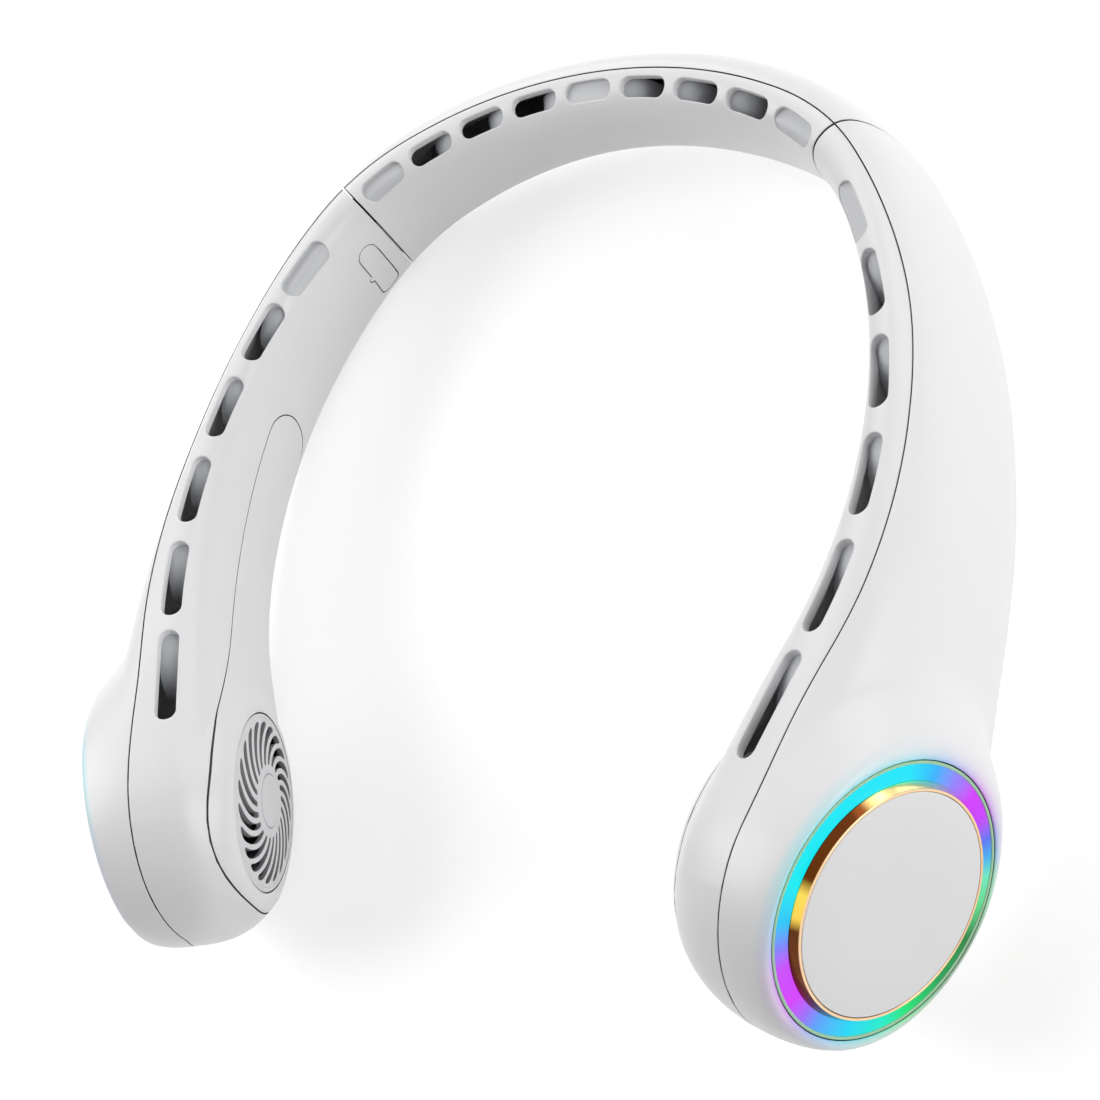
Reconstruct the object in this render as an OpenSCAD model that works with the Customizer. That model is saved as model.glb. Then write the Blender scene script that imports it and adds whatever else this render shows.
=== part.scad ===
// Electric neck fan: a U-shaped neckband with a hinged arm on each side, each
// ending in a round fan pod with an intake grille and a lit ring.
// The band follows a rail of tangent arcs in the plane of the air slots. Around
// the rail stands an upright sheet that leans outward. Points of the body are
// given by the length s along the rail from the nape, the distance m outward
// from the sheet and the distance d down the sheet.

/* [Rail] */
// Distance from the origin back to the slot row at the nape
nape_y = 54.7; // [54:0.1:56]
// Radius of the slot row behind the neck
neck_radius = 90; // [88:0.5:92]
// Half angle of the neck arc
neck_sweep = 30.5; // [30:0.5:31]
// Radius of the tighter bend near the joint
bend_radius = 51; // [50:0.5:53]
// Angle of the tighter bend
bend_sweep = 28; // [27.5:0.5:28.5]
// Radius of the slot row along the arm
arm_radius = 128; // [126:1:130]
// Angle of the arm arc
arm_sweep = 49.5; // [49:0.5:50]
// Length of the straight end from the arm arc to the middle of the fan pod
straight_length = 34.4; // [34:0.2:35]
// Outward lean of the upright sheet in degrees
lean = 17; // [16:0.5:18]
// Distance along the rail from the nape to the arm joint
joint_reach = 65.5; // [65:0.25:66]

/* [Body] */
// Thickness of the fan pod across the sheet
pod_thickness = 37; // [36.5:0.25:38]
// Height of the fan pod down the sheet
pod_height = 61; // [60.5:0.5:63]
// Distance from the middle of the fan pod to its front tip
pod_reach = 30.2; // [30:0.2:31]
// Wall thickness of the casings
wall = 2; // [1.9:0.05:2.1]
// Gap along the seams between casings
seam_gap = 0.25; // [0.2:0.05:0.3]
// Gap across the arm joint
joint_gap = 0.5; // [0.5:0.05:0.6]

/* [Air slots] */
// Width of each air slot
slot_width = 4.6; // [4.3:0.1:4.8]
// Length of the neck slots
neck_slot_length = 11.9; // [11.5:0.1:12.3]
// Length of the open arm slot nearest the joint
arm_slot_length = 15.9; // [15.5:0.1:16.1]
// Growth of the further arm slots towards the pod
slot_growth = 0.38; // [0.34:0.02:0.4]
// Spacing of the arm slots along the rail
arm_slot_pitch = 20.6; // [20.4:0.1:20.8]
// Spacing of the neck slots along the rail
neck_slot_pitch = 14.35; // [14.2:0.05:14.5]
// Depth of the closed slot recesses
blank_depth = 0.9; // [0.8:0.1:1]
// Thickness of the air vanes
vane_thickness = 0.8; // [0.7:0.1:0.9]

/* [Light ring] */
// Distance of the light ring plane outward from the sheet
lamp_out = 19; // [18.9:0.05:19.2]
// Forward tilt of the light ring in degrees
lamp_tilt = 7; // [6.75:0.25:7.5]
// Outer radius of the clear rim around the light ring
lamp_radius = 26.4; // [26.2:0.1:26.6]
// Wall thickness of the clear rim
rim_wall = 0.7; // [0.6:0.05:0.8]
// Radius of the gold bezel
bezel_radius = 22.1; // [22:0.05:22.2]
// Wall thickness of the gold bezel
bezel_wall = 0.8; // [0.75:0.05:0.9]
// Height of the bezel and disc above the light ring plane
disc_rise = 1.7; // [1.6:0.05:1.9]
// Depth of the lamp recess
lamp_depth = 4.8; // [4.7:0.05:5]
// Depth of the glowing surface below the light ring plane
glow_depth = 1.8; // [1.7:0.05:1.9]

/* [Fan] */
// Distance of the intake plane inward from the sheet
intake_in = 12.9; // [12.8:0.05:13]
// Tilt of the intake in degrees
intake_tilt = 3.8; // [3.5:0.1:4]
// Radius of the intake grille
grille_radius = 20.2; // [20:0.1:20.3]
// Height of the grille dome
dome_rise = 1.4; // [1.3:0.1:1.5]
// Radius of the plain disc in the middle of the grille
badge_radius = 6; // [5.9:0.1:6.1]
// Number of curved openings in the grille
swirl_count = 22; // [20:1:24]
// Radius of the fan wheel
wheel_radius = 17.2; // [17:0.1:17.4]
// Height of the fan wheel
wheel_height = 9; // [8.8:0.1:9.1]
// Number of blades of the fan wheel
blade_count = 24; // [20:1:28]
// Radius of the motor
motor_radius = 7.5; // [7.2:0.1:7.8]
// Height of the motor
motor_height = 6.6; // [6.4:0.1:6.8]
// Radius of the motor shaft
shaft_radius = 0.75; // [0.7:0.05:0.8]
// Radial clearance around shafts and pins
pin_clearance = 0.05; // [0.04:0.01:0.06]

/* [Arm hinge] */
// Distance of the hinge axis from the inner skin
hinge_depth = 3.15; // [3.1:0.05:3.25]
// Radius of the hinge barrels
barrel_radius = 1.8; // [1.75:0.05:1.85]
// Radius of the hinge pins
pin_radius = 0.9; // [0.85:0.05:0.95]
// Length of the hinge pins
pin_length = 16.4; // [16.2:0.1:16.5]
// Width of the air sleeve through the joint
sleeve_width = 6.6; // [6.4:0.1:6.8]
// Height of the air sleeve through the joint
sleeve_height = 26; // [25:0.5:27]
// Length of the air sleeve inside the arm
sleeve_reach = 4.2; // [4:0.1:4.3]

/* [Power] */
// Radius of a battery cell
cell_radius = 4.9; // [4.8:0.05:5]
// Length of a battery cell
cell_length = 42; // [41:0.5:42.5]
// Distance from the nape to the middle of a battery cell
cell_place = 22.6; // [22.4:0.1:23]
// Distance from the arm joint to the middle of the charging port
port_reach = 7.2; // [7.1:0.1:7.4]
// Distance of the charging port down the sheet
port_down = 20.7; // [20.4:0.1:21]
// Width of the port cover
port_width = 5.8; // [5.7:0.05:5.9]
// Length of the port cover
port_length = 23; // [22.5:0.25:23.5]
// Thickness of the port cover
port_thickness = 1; // [0.95:0.05:1.05]
// Radius of the power button
button_radius = 3.4; // [3.3:0.05:3.5]
// Travel of the power button
button_travel = 0.6; // [0.5:0.05:0.6]
// Distance from the arm joint to the power button
button_reach = 32.5; // [31.5:0.5:33.5]

/* [Resting place] */
// Angle by which the part lies back on a table
rest_angle = 7; // [6.9:0.1:7.1]
// Height of the slot row above the table at the origin
rest_height = 40.2; // [40:0.1:40.6]
// Distance that brings the origin under the middle of the part
rest_shift = 41.1; // [41:0.1:41.2]

/* [Hidden] */
$fn = 64;
skin_steps = 16;
cover_steps = 12;
neck_steps = 18;
arm_steps = 11;
widen_steps = 10;
tip_steps = 6;
station_shares = [0, 0.19, 0.33, 0.485, 0.634, 0.782, 0.896, 1];
thickness_shares = [0.49, 0.48, 0.415, 0.395, 0.465, 0.62, 0.81, 1];
height_shares = [0.477, 0.545, 0.646, 0.70, 0.745, 0.818, 0.955, 1];
offset_shares = [0.10, 0.13, 0.145, 0.07, 0.02, 0.05, 0.13, 0.25];
rise_shares = [0.03, 0.026, 0.025, 0.033, 0.05, 0.085, 0.125, 0.15];
seam_shares = [0.25, 0.27, 0.41, 0.62, 0.59, 0.46, 0.27, 0.15];
roundness = [2.4, 2.4, 2.4, 2.4, 2.4, 2.5, 2.65, 2.75];
slice = wall / 50;
start_turn = 11;
bore_turn = 47;
vane_width = slot_width - seam_gap * 2;
vane_slope = 36;
vane_floor = wall * 2.2;
neck_arc = neck_radius * neck_sweep * PI / 180;
bend_arc = bend_radius * bend_sweep * PI / 180;
arm_arc = arm_radius * arm_sweep * PI / 180;
pod_s = neck_arc + bend_arc + arm_arc + straight_length;
pod_d = pod_height / 2 * (1 - 0.15);
arm_start = joint_reach + joint_gap / 2;
widen_s = pod_s - pod_reach * 1.75;
lamp_flat = lamp_radius * 1.02;
lamp_blend = lamp_radius * 1.175;
rear_blend = lamp_radius * 1.59;
intake_flat = grille_radius * 1.035;
intake_blend = grille_radius * 1.336;
panel_thickness = wall / 2;
panel_radius = grille_radius * 1.149;
panel_start = pod_s * 0.527;
panel_turn = pod_reach / 4;
bore_radius = lamp_radius + seam_gap / 2;
cup_radius = bore_radius + wall * 0.75;
shelf_radius = bezel_radius * 0.77;
disc_radius = bezel_radius - bezel_wall - seam_gap / 4;
plate_thickness = wall * 0.75;
wheel_top = wall * 1.6;
plate_top = wheel_top + wheel_height + wall * 0.6;
scroll_radius = grille_radius * 0.955;
boss_radius = wall * 1.1;
boss_place = grille_radius * 1.165;
boss_top = wall * 2.2;
boss_angles = [62, 140, 298];
last_slot = pod_s - boss_place * 0.42 - arm_slot_length / 2 - slot_growth * 8;
first_slot = last_slot - arm_slot_pitch * 4 - slot_growth * 24;
first_gap = first_slot - arm_slot_length / 2 - joint_reach;
blank_s = joint_reach + first_gap * 0.655;
blank_length = first_gap * 0.484;
screw_radius = wall * 0.475;
head_radius = wall * 0.95;
head_height = wall * 0.6;
screw_reach = wall * 3;
hub_radius = motor_radius * 0.93;
blade_thickness = wall * 0.3;
web_length = barrel_radius * 2;
knuckle_gap = seam_gap;
hinge_m = mid_m(joint_reach) - half_t(joint_reach) + hinge_depth;
hinge_d = mid_d(joint_reach);
relief_radius = barrel_radius + seam_gap;
sleeve_wall = wall / 2;
sleeve_m = hinge_m + barrel_radius + seam_gap * 2.4 + sleeve_width / 2;
flange_place = web_length + wall;
tray_thickness = wall / 2;
cell_d = mid_d(cell_place) + half_h(cell_place) - wall * 2.373 - cell_radius;
tray_d = cell_d - cell_radius - seam_gap - tray_thickness;
tray_half = half_t(cell_place * 2) - wall - seam_gap * 1.2;
tray_m = mid_m(cell_place * 2);
tray_sweep = neck_sweep * 0.97;
cell_m = mid_m(cell_place) - wall * 0.69;
port_s = joint_reach + port_reach;
button_s = joint_reach + button_reach;
port_pad = wall * 1.2;
socket_width = port_width * 0.55;
socket_height = port_length * 0.385;
socket_depth = wall * 3.4;
socket_in = port_thickness * 1.5;
board_length = port_width * 5.4;
board_width = port_length * 0.52;
board_thickness = wall / 2;
board_s = port_s + board_length / 2 - socket_width / 2;
button_d = mid_d(button_s) * 0.82;
button_face = skin_m(button_s, button_d, 1);
button_rise = wall * 0.25;
flange_height = wall * 0.4;

// Curve through a table over the stations, with smooth slopes.
function steps() = len(station_shares) - 1;
function span(t) = max([for (i = [0:steps() - 1]) if (t >= station_shares[i]) i]);
function incline(tab, i) = (i == 0 || i == steps()) ? 0
    : (tab[i + 1] - tab[i - 1]) / (station_shares[i + 1] - station_shares[i - 1]);
function curve(tab, t) = let (i = span(t),
    h = station_shares[i + 1] - station_shares[i],
    q = (t - station_shares[i]) / h)
    (2 * pow(q, 3) - 3 * pow(q, 2) + 1) * tab[i]
    + (pow(q, 3) - 2 * pow(q, 2) + q) * h * incline(tab, i)
    + (3 * pow(q, 2) - 2 * pow(q, 3)) * tab[i + 1]
    + (pow(q, 3) - pow(q, 2)) * h * incline(tab, i + 1);
function clip(x) = min(1, max(0, x));
function ease(x) = pow(clip(x), 2) * (3 - 2 * clip(x));
function side(x) = x < 0 ? -1 : 1;

// Rail: position and heading of the outward direction at the length s.
function on_arc(x, y, h, r, a) = [x - r * cos(h) + r * cos(h - a), y - r * sin(h) + r * sin(h - a), h - a];
function turn(p, r, a) = on_arc(p[0], p[1], p[2], r, a);
function rail_start() = [0, nape_y, 90];
function rail_bend() = turn(rail_start(), neck_radius, neck_sweep);
function rail_arm() = turn(rail_bend(), bend_radius, bend_sweep);
function rail_straight() = turn(rail_arm(), arm_radius, arm_sweep);
function onward(p, l) = [p[0] + l * sin(p[2]), p[1] - l * cos(p[2]), p[2]];
function rail_half(s) = s < neck_arc ? turn(rail_start(), neck_radius, s / neck_radius * 180 / PI)
    : s < neck_arc + bend_arc ? turn(rail_bend(), bend_radius, (s - neck_arc) / bend_radius * 180 / PI)
    : s < neck_arc + bend_arc + arm_arc
    ? turn(rail_arm(), arm_radius, (s - neck_arc - bend_arc) / arm_radius * 180 / PI)
    : onward(rail_straight(), s - neck_arc - bend_arc - arm_arc);
function rail(s) = let (p = rail_half(abs(s))) s < 0 ? [-p[0], p[1], 180 - p[2]] : p;
function place(s, m, d) = let (p = rail(s), u = m * cos(lean) + d * sin(lean))
    [p[0] + cos(p[2]) * u, p[1] + sin(p[2]) * u, m * sin(lean) - d * cos(lean)];

// Section of the body at the length s.
function share(s) = clip(abs(s) / pod_s);
function ahead(s) = clip((abs(s) - pod_s) / pod_reach);
function fall_t(s) = sqrt(max(0, 1 - pow(ahead(s), 3.8)));
function fall_h(s) = sqrt(max(0, 1 - pow(ahead(s), 2)));
function half_t(s) = pod_thickness / 2 * curve(thickness_shares, share(s));
function half_h(s) = pod_height / 2 * curve(height_shares, share(s));
function mid_m(s) = pod_thickness / 2 * curve(offset_shares, share(s));
function mid_d(s) = half_h(s) - pod_height / 2 * curve(rise_shares, share(s));
function bend(s) = curve(roundness, share(s));
function seam_m(s) = half_t(s) * curve(seam_shares, share(s));
function seam_angle(s, w) = acos(pow(min(0.95, seam_m(s) / (half_t(s) - w)), bend(s) / 2));
function swell(c, n) = side(c) * pow(abs(c), 2 / n);
function from_pod(s, d) = norm([abs(s) - pod_s, d - pod_d]);
function rearward(s, d) = pow(max(0, (pod_s - abs(s)) / max(slice, from_pod(s, d))), 2);
function blend(s, d) = lamp_blend + (rear_blend - lamp_blend) * rearward(s, d);
function flat_out(s, d, c) = ease((blend(s, d) - from_pod(s, d)) / (blend(s, d) - lamp_flat))
    * ease((c - 0.15) / 0.5);
function flat_in(s, d, c) = ease((intake_blend - from_pod(s, d)) / (intake_blend - intake_flat))
    * ease((-c - 0.15) / 0.5);
function lamp_plane(s, w) = lamp_out - w - (abs(s) - pod_s) * tan(lamp_tilt);
function intake_plane(s, w) = w - intake_in + (abs(s) - pod_s) * tan(intake_tilt);
function settle(s, d, c, m, w) = let (a = flat_out(s, d, c), b = flat_in(s, d, c))
    a > 0 ? m + (lamp_plane(s, w) - m) * a : m + (intake_plane(s, w) - m) * b;
// Point of the skin at the angle q, with the wall w taken off.
function inset_s(s, w) = side(s) * (min(abs(s), pod_s) + max(0, abs(s) - pod_s) * (1 - w / pod_reach));
function skin(s, q, w, shift) = let (c = swell(cos(q), bend(s)), e = swell(sin(q), bend(s)),
    m = mid_m(s) + (half_t(s) - w) * fall_t(s) * c,
    d = mid_d(s) + (half_h(s) - w) * fall_h(s) * e)
    place(inset_s(s, w), settle(s, d, c, m, w) + shift, d);
// Distance outward of the skin at the depth d, on the outer or the inner side.
function skin_m(s, d, k) = let (e = min(1, abs(d - mid_d(s)) / max(slice, half_h(s) * fall_h(s))),
    c = pow(max(0, 1 - pow(e, bend(s))), 1 / bend(s)))
    settle(s, d, k * c, mid_m(s) + k * half_t(s) * fall_t(s) * c, 0);

module station(s) {
    p = rail(s);
    translate([p[0], p[1], 0])
        rotate([0, 0, p[2] - 90])
            rotate([lean - 90, 0, 0])
                children();
}
module pod() {
    station(pod_s)
        translate([0, pod_d, 0])
            children();
}
module lamp() {
    pod()
        translate([0, 0, lamp_out])
            rotate([0, lamp_tilt, 0])
                rotate([0, 0, start_turn])
                    children();
}
module intake() {
    pod()
        translate([0, 0, -intake_in])
            rotate([180, -intake_tilt, 0])
                children();
}
module rest() {
    translate([0, rest_shift, rest_height])
        rotate([-rest_angle, 0, 0])
            children();
}
module other_side() {
    mirror([1, 0, 0])
        children();
}
module ring(outer, inner, low, high) {
    translate([0, 0, low])
        difference() {
            cylinder(h = high - low, r = outer);
            translate([0, 0, -(high - low)])
                cylinder(h = (high - low) * 3, r = inner);
        }
}

// Shell between the angles of a seam, along the stations, closed at a tip or cut flat.
function strip(s, n, w, shift, near) = [for (j = [0:n])
    let (a = seam_angle(s, w), q = near ? -a + 2 * a * j / n : a + (360 - 2 * a) * j / n)
    skin(s, q, w, shift)];
function flip(v) = [for (i = [len(v) - 1:-1:0]) v[i]];
function band(i, k) = [for (j = [0:k - 1]) let (a = i * k + j, b = i * k + (j + 1) % k)
    each [[a, b, b + k], [a, b + k, a + k]]];
function cap(k, first, back) = [for (j = [0:k / 2 - 2])
    let (a = first + j, b = first + j + 1, c = first + k - 2 - j, d = first + k - 1 - j)
    each back ? [[a, c, b], [a, d, c]] : [[a, b, c], [a, c, d]]];
module shell(list, n, shift, near, tip) {
    k = 2 * n + 2;
    count = len(list);
    loops = [for (s = list) each concat(strip(s, n, 0, shift, near), flip(strip(s, n, wall, shift, near)))];
    last = (count - 1) * k;
    end = count * k;
    tips = [place(pod_s + pod_reach, mid_m(pod_s) + shift, mid_d(pod_s)),
        place(pod_s + pod_reach - wall, mid_m(pod_s) + shift, mid_d(pod_s))];
    fan = [for (j = [0:n - 1]) [last + j, last + j + 1, end]];
    back = [for (j = [n + 1:k - 2]) [last + j, last + j + 1, end + 1]];
    walls = [[last + n, last + n + 1, end + 1], [last + n, end + 1, end],
        [last + k - 1, last, end], [last + k - 1, end, end + 1]];
    start = cap(k, 0, true);
    finish = tip ? concat(fan, back, walls) : cap(k, last, false);
    sides = [for (i = [0:count - 2]) each band(i, k)];
    polyhedron(points = tip ? concat(loops, tips) : loops, faces = concat(start, sides, finish));
}
function neck_stations() = [for (i = [0:neck_steps])
    (joint_reach - joint_gap / 2) * (2 * i / neck_steps - 1)];
function arm_stations() = concat(
    [for (i = [0:arm_steps]) arm_start + (widen_s - arm_start) * i / arm_steps],
    [for (i = [1:widen_steps]) widen_s + (pod_s - widen_s) * i / widen_steps],
    [for (i = [1:tip_steps - 1]) pod_s + pod_reach * sin(90 * i / tip_steps)]);

// Slots.
module pill(length, width, low, high) {
    translate([0, 0, 0])
        rotate([-90, 0, 0])
            translate([0, 0, low])
                union() {
                    translate([-(length - width) / 2, -width / 2, 0])
                        cube([length - width, width, high - low]);
                    for (k = [-1, 1])
                        translate([k * (length - width) / 2, 0, 0])
                            cylinder(h = high - low, r = width / 2);
                }
}
function neck_slots() = [-3, -2, -1, 1, 2, 3];
function arm_slots() = [for (i = [0:4]) first_slot + arm_slot_pitch * i + slot_growth * i * i * 1.5];
function arm_slot(i) = arm_slot_length + slot_growth * i * i;
module neck_slot_cuts() {
    for (i = neck_slots())
        station(i * neck_slot_pitch)
            pill(neck_slot_length, slot_width, -wall * 2, wall * 3);
    for (i = [-4, 0, 4])
        station(i * neck_slot_pitch)
            pill(neck_slot_length, slot_width, -wall * 2, blank_depth - top_rise(i * neck_slot_pitch));
}
function top_rise(s) = pod_height / 2 * curve(rise_shares, share(s));
module arm_slot_cuts() {
    for (i = [0:4])
        station(arm_slots()[i])
            pill(arm_slot(i), slot_width, -wall * 4, wall * 3);
    station(blank_s)
        pill(blank_length, slot_width, -wall * 2, blank_depth - top_rise(blank_s));
}

// Hinge.
module along_hinge() {
    translate([0, 0, hinge_m])
        rotate([-90, 0, 0])
            rotate([0, 0, bore_turn])
                children();
}
function knuckle_ends() = [hinge_d - pin_length / 2, hinge_d - pin_length / 4,
    hinge_d + pin_length / 4, hinge_d + pin_length / 2];
module knuckle(low, high, way) {
    along_hinge()
        translate([0, 0, low])
            cylinder(h = high - low, r = barrel_radius);
    translate([way < 0 ? -web_length : 0, low, hinge_m - barrel_radius])
        cube([web_length, high - low, barrel_radius * 1.5]);
}
module knuckle_relief(low, high) {
    along_hinge()
        translate([0, 0, low])
            cylinder(h = high - low, r = relief_radius);
}
module pin_bore() {
    along_hinge()
        translate([0, 0, hinge_d - pin_length])
            cylinder(h = pin_length * 2, r = pin_radius + pin_clearance);
}
module neck_hinge() {
    k = knuckle_ends();
    station(joint_reach) {
        knuckle(k[0], k[1] - knuckle_gap, -1);
        knuckle(k[2] + knuckle_gap, k[3], -1);
    }
}
module neck_hinge_cuts() {
    k = knuckle_ends();
    station(joint_reach) {
        knuckle_relief(k[1] - knuckle_gap, k[2] + knuckle_gap);
        pin_bore();
    }
}
module arm_hinge_cuts() {
    k = knuckle_ends();
    station(joint_reach) {
        knuckle_relief(k[0] - knuckle_gap, k[1]);
        knuckle_relief(k[2], k[3] + knuckle_gap);
        pin_bore();
    }
}
module hinge_pin() {
    color("silver")
        station(joint_reach)
            along_hinge()
                translate([0, 0, hinge_d - pin_length / 2])
                    cylinder(h = pin_length, r = pin_radius);
}

// Neck.
module neck_core() {
    color("white")
        rest()
            difference() {
                union() {
                    shell(neck_stations(), skin_steps, 0, false, false);
                    neck_hinge();
                    other_side()
                        neck_hinge();
                }
                neck_slot_cuts();
                neck_hinge_cuts();
                other_side()
                    neck_hinge_cuts();
            }
}
module neck_cover() {
    color("white")
        rest()
            shell(neck_stations(), cover_steps, seam_gap, true, false);
}
module battery_cells() {
    color("steelblue")
        rest()
            for (k = [-1, 1])
                station(k * cell_place)
                    translate([-cell_length / 2, cell_d, cell_m])
                        rotate([0, 90, 0])
                            cylinder(h = cell_length, r = cell_radius);
}
function sheet_point(m, d) = [neck_radius + m * cos(lean) + d * sin(lean), m * sin(lean) - d * cos(lean)];
module arc_strip(m_low, m_high, d_low, d_high, sweep) {
    translate([0, nape_y - neck_radius, 0])
        rotate([0, 0, 90 - sweep])
            rotate_extrude(angle = 2 * sweep, $fn = 128)
                polygon([sheet_point(m_low, d_low), sheet_point(m_high, d_low),
                    sheet_point(m_high, d_high), sheet_point(m_low, d_high)]);
}
function arc_middle() = let (p = rail_arm()) [p[0] - arm_radius * cos(p[2]), p[1] - arm_radius * sin(p[2])];
module arm_strip(m_low, m_high, d_low, d_high, s_low) {
    h = rail_arm()[2] - arm_sweep;
    a = (neck_arc + bend_arc + arm_arc - s_low) / arm_radius * 180 / PI;
    translate(arc_middle())
        rotate([0, 0, h])
            rotate_extrude(angle = a, $fn = 128)
                polygon([for (p = [[m_low, d_low], [m_high, d_low], [m_high, d_high], [m_low, d_high]])
                    sheet_point(p[0], p[1]) + [arm_radius - neck_radius, 0]]);
}
module battery_tray() {
    color("dimgray")
        rest() {
            arc_strip(tray_m - tray_half, tray_m + tray_half, tray_d, tray_d + tray_thickness, tray_sweep);
            for (k = [-1, 0, 1])
                station(k * cell_place * 2)
                    translate([-tray_thickness / 2, tray_d, cell_m + seam_gap - cell_radius / 2])
                        cube([tray_thickness, cell_radius, cell_radius]);
        }
}
function vane_top(s, length) = wall * 0.5 - top_rise(s - length / 2);
module vane(s, length) {
    station(s)
        translate([slot_width * 0.4 - length / 2, vane_top(s, length), -vane_width / 2])
            rotate([0, 0, vane_slope])
                cube([(vane_floor + vane_thickness - vane_top(s, length)) / sin(vane_slope),
                    vane_thickness, vane_width]);
}
module air_vanes_neck() {
    color("lightgray")
        rest() {
            for (k = [0, 1])
                mirror([k, 0, 0])
                    for (i = [1:3])
                        vane(i * neck_slot_pitch, neck_slot_length);
            arc_strip(-vane_width / 4, vane_width / 4, vane_floor, vane_floor + vane_thickness, neck_sweep);
        }
}
module stadium(width, height) {
    union() {
        square([height - width, width], center = true);
        for (k = [-1, 1])
            translate([k * (height - width) / 2, 0])
                circle(r = width / 2);
    }
}
module along_rail() {
    rotate([90, 0, 90])
        children();
}
function section_2d(s, w) = [for (j = [0:31]) let (q = j * 360 / 32)
    [mid_d(s) + (half_h(s) - w) * swell(sin(q), bend(s)),
    mid_m(s) + (half_t(s) - w) * swell(cos(q), bend(s))]];
module joint_sleeve() {
    color("dimgray")
        difference() {
            union() {
                station(joint_reach - flange_place)
                    translate([-sleeve_wall, 0, 0])
                        along_rail()
                            linear_extrude(height = sleeve_wall)
                                polygon(section_2d(joint_reach - flange_place, wall + seam_gap * 1.7));
                station(joint_reach)
                    translate([-flange_place - sleeve_wall / 2, hinge_d, sleeve_m])
                        along_rail()
                            linear_extrude(height = flange_place + sleeve_wall / 2 + sleeve_reach)
                                stadium(sleeve_width, sleeve_height);
            }
            station(joint_reach)
                translate([-flange_place * 2, hinge_d, sleeve_m])
                    along_rail()
                        linear_extrude(height = flange_place * 3 + sleeve_reach)
                            stadium(sleeve_width - sleeve_wall * 2, sleeve_height - sleeve_wall * 2);
        }
}

// Inner panel: a disc around the intake with a tail up the arm.
function tail_share(s) = ease((s - panel_start) / (pod_s - panel_start));
function tail_top(s) = mid_d(s) - half_h(s) * (0.36 + 0.30 * tail_share(s));
function tail_low(s) = mid_d(s) + half_h(s) * (0.55 + 0.12 * tail_share(s));
function disc_half(s, r) = sqrt(max(0, r * r - pow(s - pod_s, 2)));
function start_half(s, g) = sqrt(clip(1 - pow(clip((panel_start - g + panel_turn - s) / panel_turn), 2)));
function panel_top(s, g) = s > pod_s ? pod_d - disc_half(s, panel_radius + g)
    : min(pod_d - disc_half(s, panel_radius + g) + (disc_half(s, panel_radius + g) > 0 ? 0 : pod_height),
    tail_mid(s) - (tail_mid(s) - tail_top(s) + g) * start_half(s, g));
function panel_low(s, g) = s > pod_s ? pod_d + disc_half(s, panel_radius + g)
    : max(pod_d + disc_half(s, panel_radius + g) - (disc_half(s, panel_radius + g) > 0 ? 0 : pod_height),
    tail_mid(s) + (tail_low(s) - tail_mid(s) + g) * start_half(s, g));
function tail_mid(s) = (tail_top(s) + tail_low(s)) / 2;
function panel_stations(g) = concat(
    [for (q = [15, 35, 60, 90]) panel_start - g + panel_turn * (1 - cos(q))],
    [for (i = [1:9]) let (a = panel_start + panel_turn, b = pod_s - panel_radius * 0.8) a + (b - a) * i / 9],
    [for (q = [-38, -20, 0, 20, 40, 58, 74, 84]) pod_s + (panel_radius + g) * sin(q)]);
function panel_row(s, n, g, lift) = [for (j = [0:n])
    let (d = panel_top(s, g) + (panel_low(s, g) - panel_top(s, g)) * j / n)
    place(s, skin_m(s, d, -1) + lift, d)];
module panel_solid(n, g, over, depth) {
    list = panel_stations(g);
    k = 2 * n + 2;
    count = len(list);
    loops = [for (s = list) each concat(panel_row(s, n, g, -over), flip(panel_row(s, n, g, depth)))];
    last = (count - 1) * k;
    sides = [for (i = [0:count - 2]) each band(i, k)];
    fold = [for (f = sides) [f[0], f[2], f[1]]];
    polyhedron(points = loops,
        faces = concat(cap(k, 0, false), fold, cap(k, last, true)));
}

// Arms.
function boss_drop(q) = let (r = boss_place + boss_radius * 0.8, s = pod_s + r * cos(q))
    skin_m(s, pod_d + r * sin(q), -1) - intake_plane(s, 0) + wall / 2;
module boss_places() {
    for (q = boss_angles)
        rotate([0, 0, q])
            translate([boss_place, 0, 0])
                children();
}
module arm_core_body() {
    difference() {
        union() {
            shell(arm_stations(), skin_steps, 0, false, true);
            station(joint_reach)
                knuckle(knuckle_ends()[1], knuckle_ends()[2], 1);
            intake()
                for (q = boss_angles)
                    rotate([0, 0, q])
                        translate([boss_place, 0, -plate_top])
                            rotate([0, 0, start_turn])
                                cylinder(h = plate_top - boss_drop(q), r = boss_radius);
        }
        arm_slot_cuts();
        arm_hinge_cuts();
        panel_solid(10, seam_gap / 2, wall, panel_thickness + seam_gap);
        intake() {
            translate([0, 0, -wall * 3])
                rotate([0, 0, start_turn])
                    cylinder(h = wall * 6, r = grille_radius * 0.95);
            boss_places()
                translate([0, 0, -plate_top - wall])
                    rotate([0, 0, start_turn])
                        cylinder(h = screw_reach + wall, r = screw_radius + pin_clearance);
        }
    }
}
module arm_core_right() {
    color("white")
        rest()
            arm_core_body();
}
module port_profile(grow, over, depth) {
    list = [for (j = [0:12]) port_down + (port_length / 2 + grow) * (j / 6 - 1)];
    translate([-port_width, 0, 0])
        along_rail()
            linear_extrude(height = port_width * 2)
                polygon(concat([for (d = list) [d, skin_m(port_s, d, -1) - over]],
                    [for (d = flip(list)) [d, skin_m(port_s, d, -1) + depth]]));
}
module port_outline(grow) {
    translate([0, port_down, -half_t(port_s) * 2])
        linear_extrude(height = half_t(port_s) * 3) {
            rotate([0, 0, 90])
                stadium(port_width + grow * 2, port_length + grow * 2);
            translate([port_width / 2, 0])
                circle(r = port_width * 0.17 + grow);
        }
}
module port_plate(grow, over, depth) {
    station(port_s)
        intersection() {
            port_profile(grow, over, depth);
            port_outline(grow);
        }
}
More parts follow.
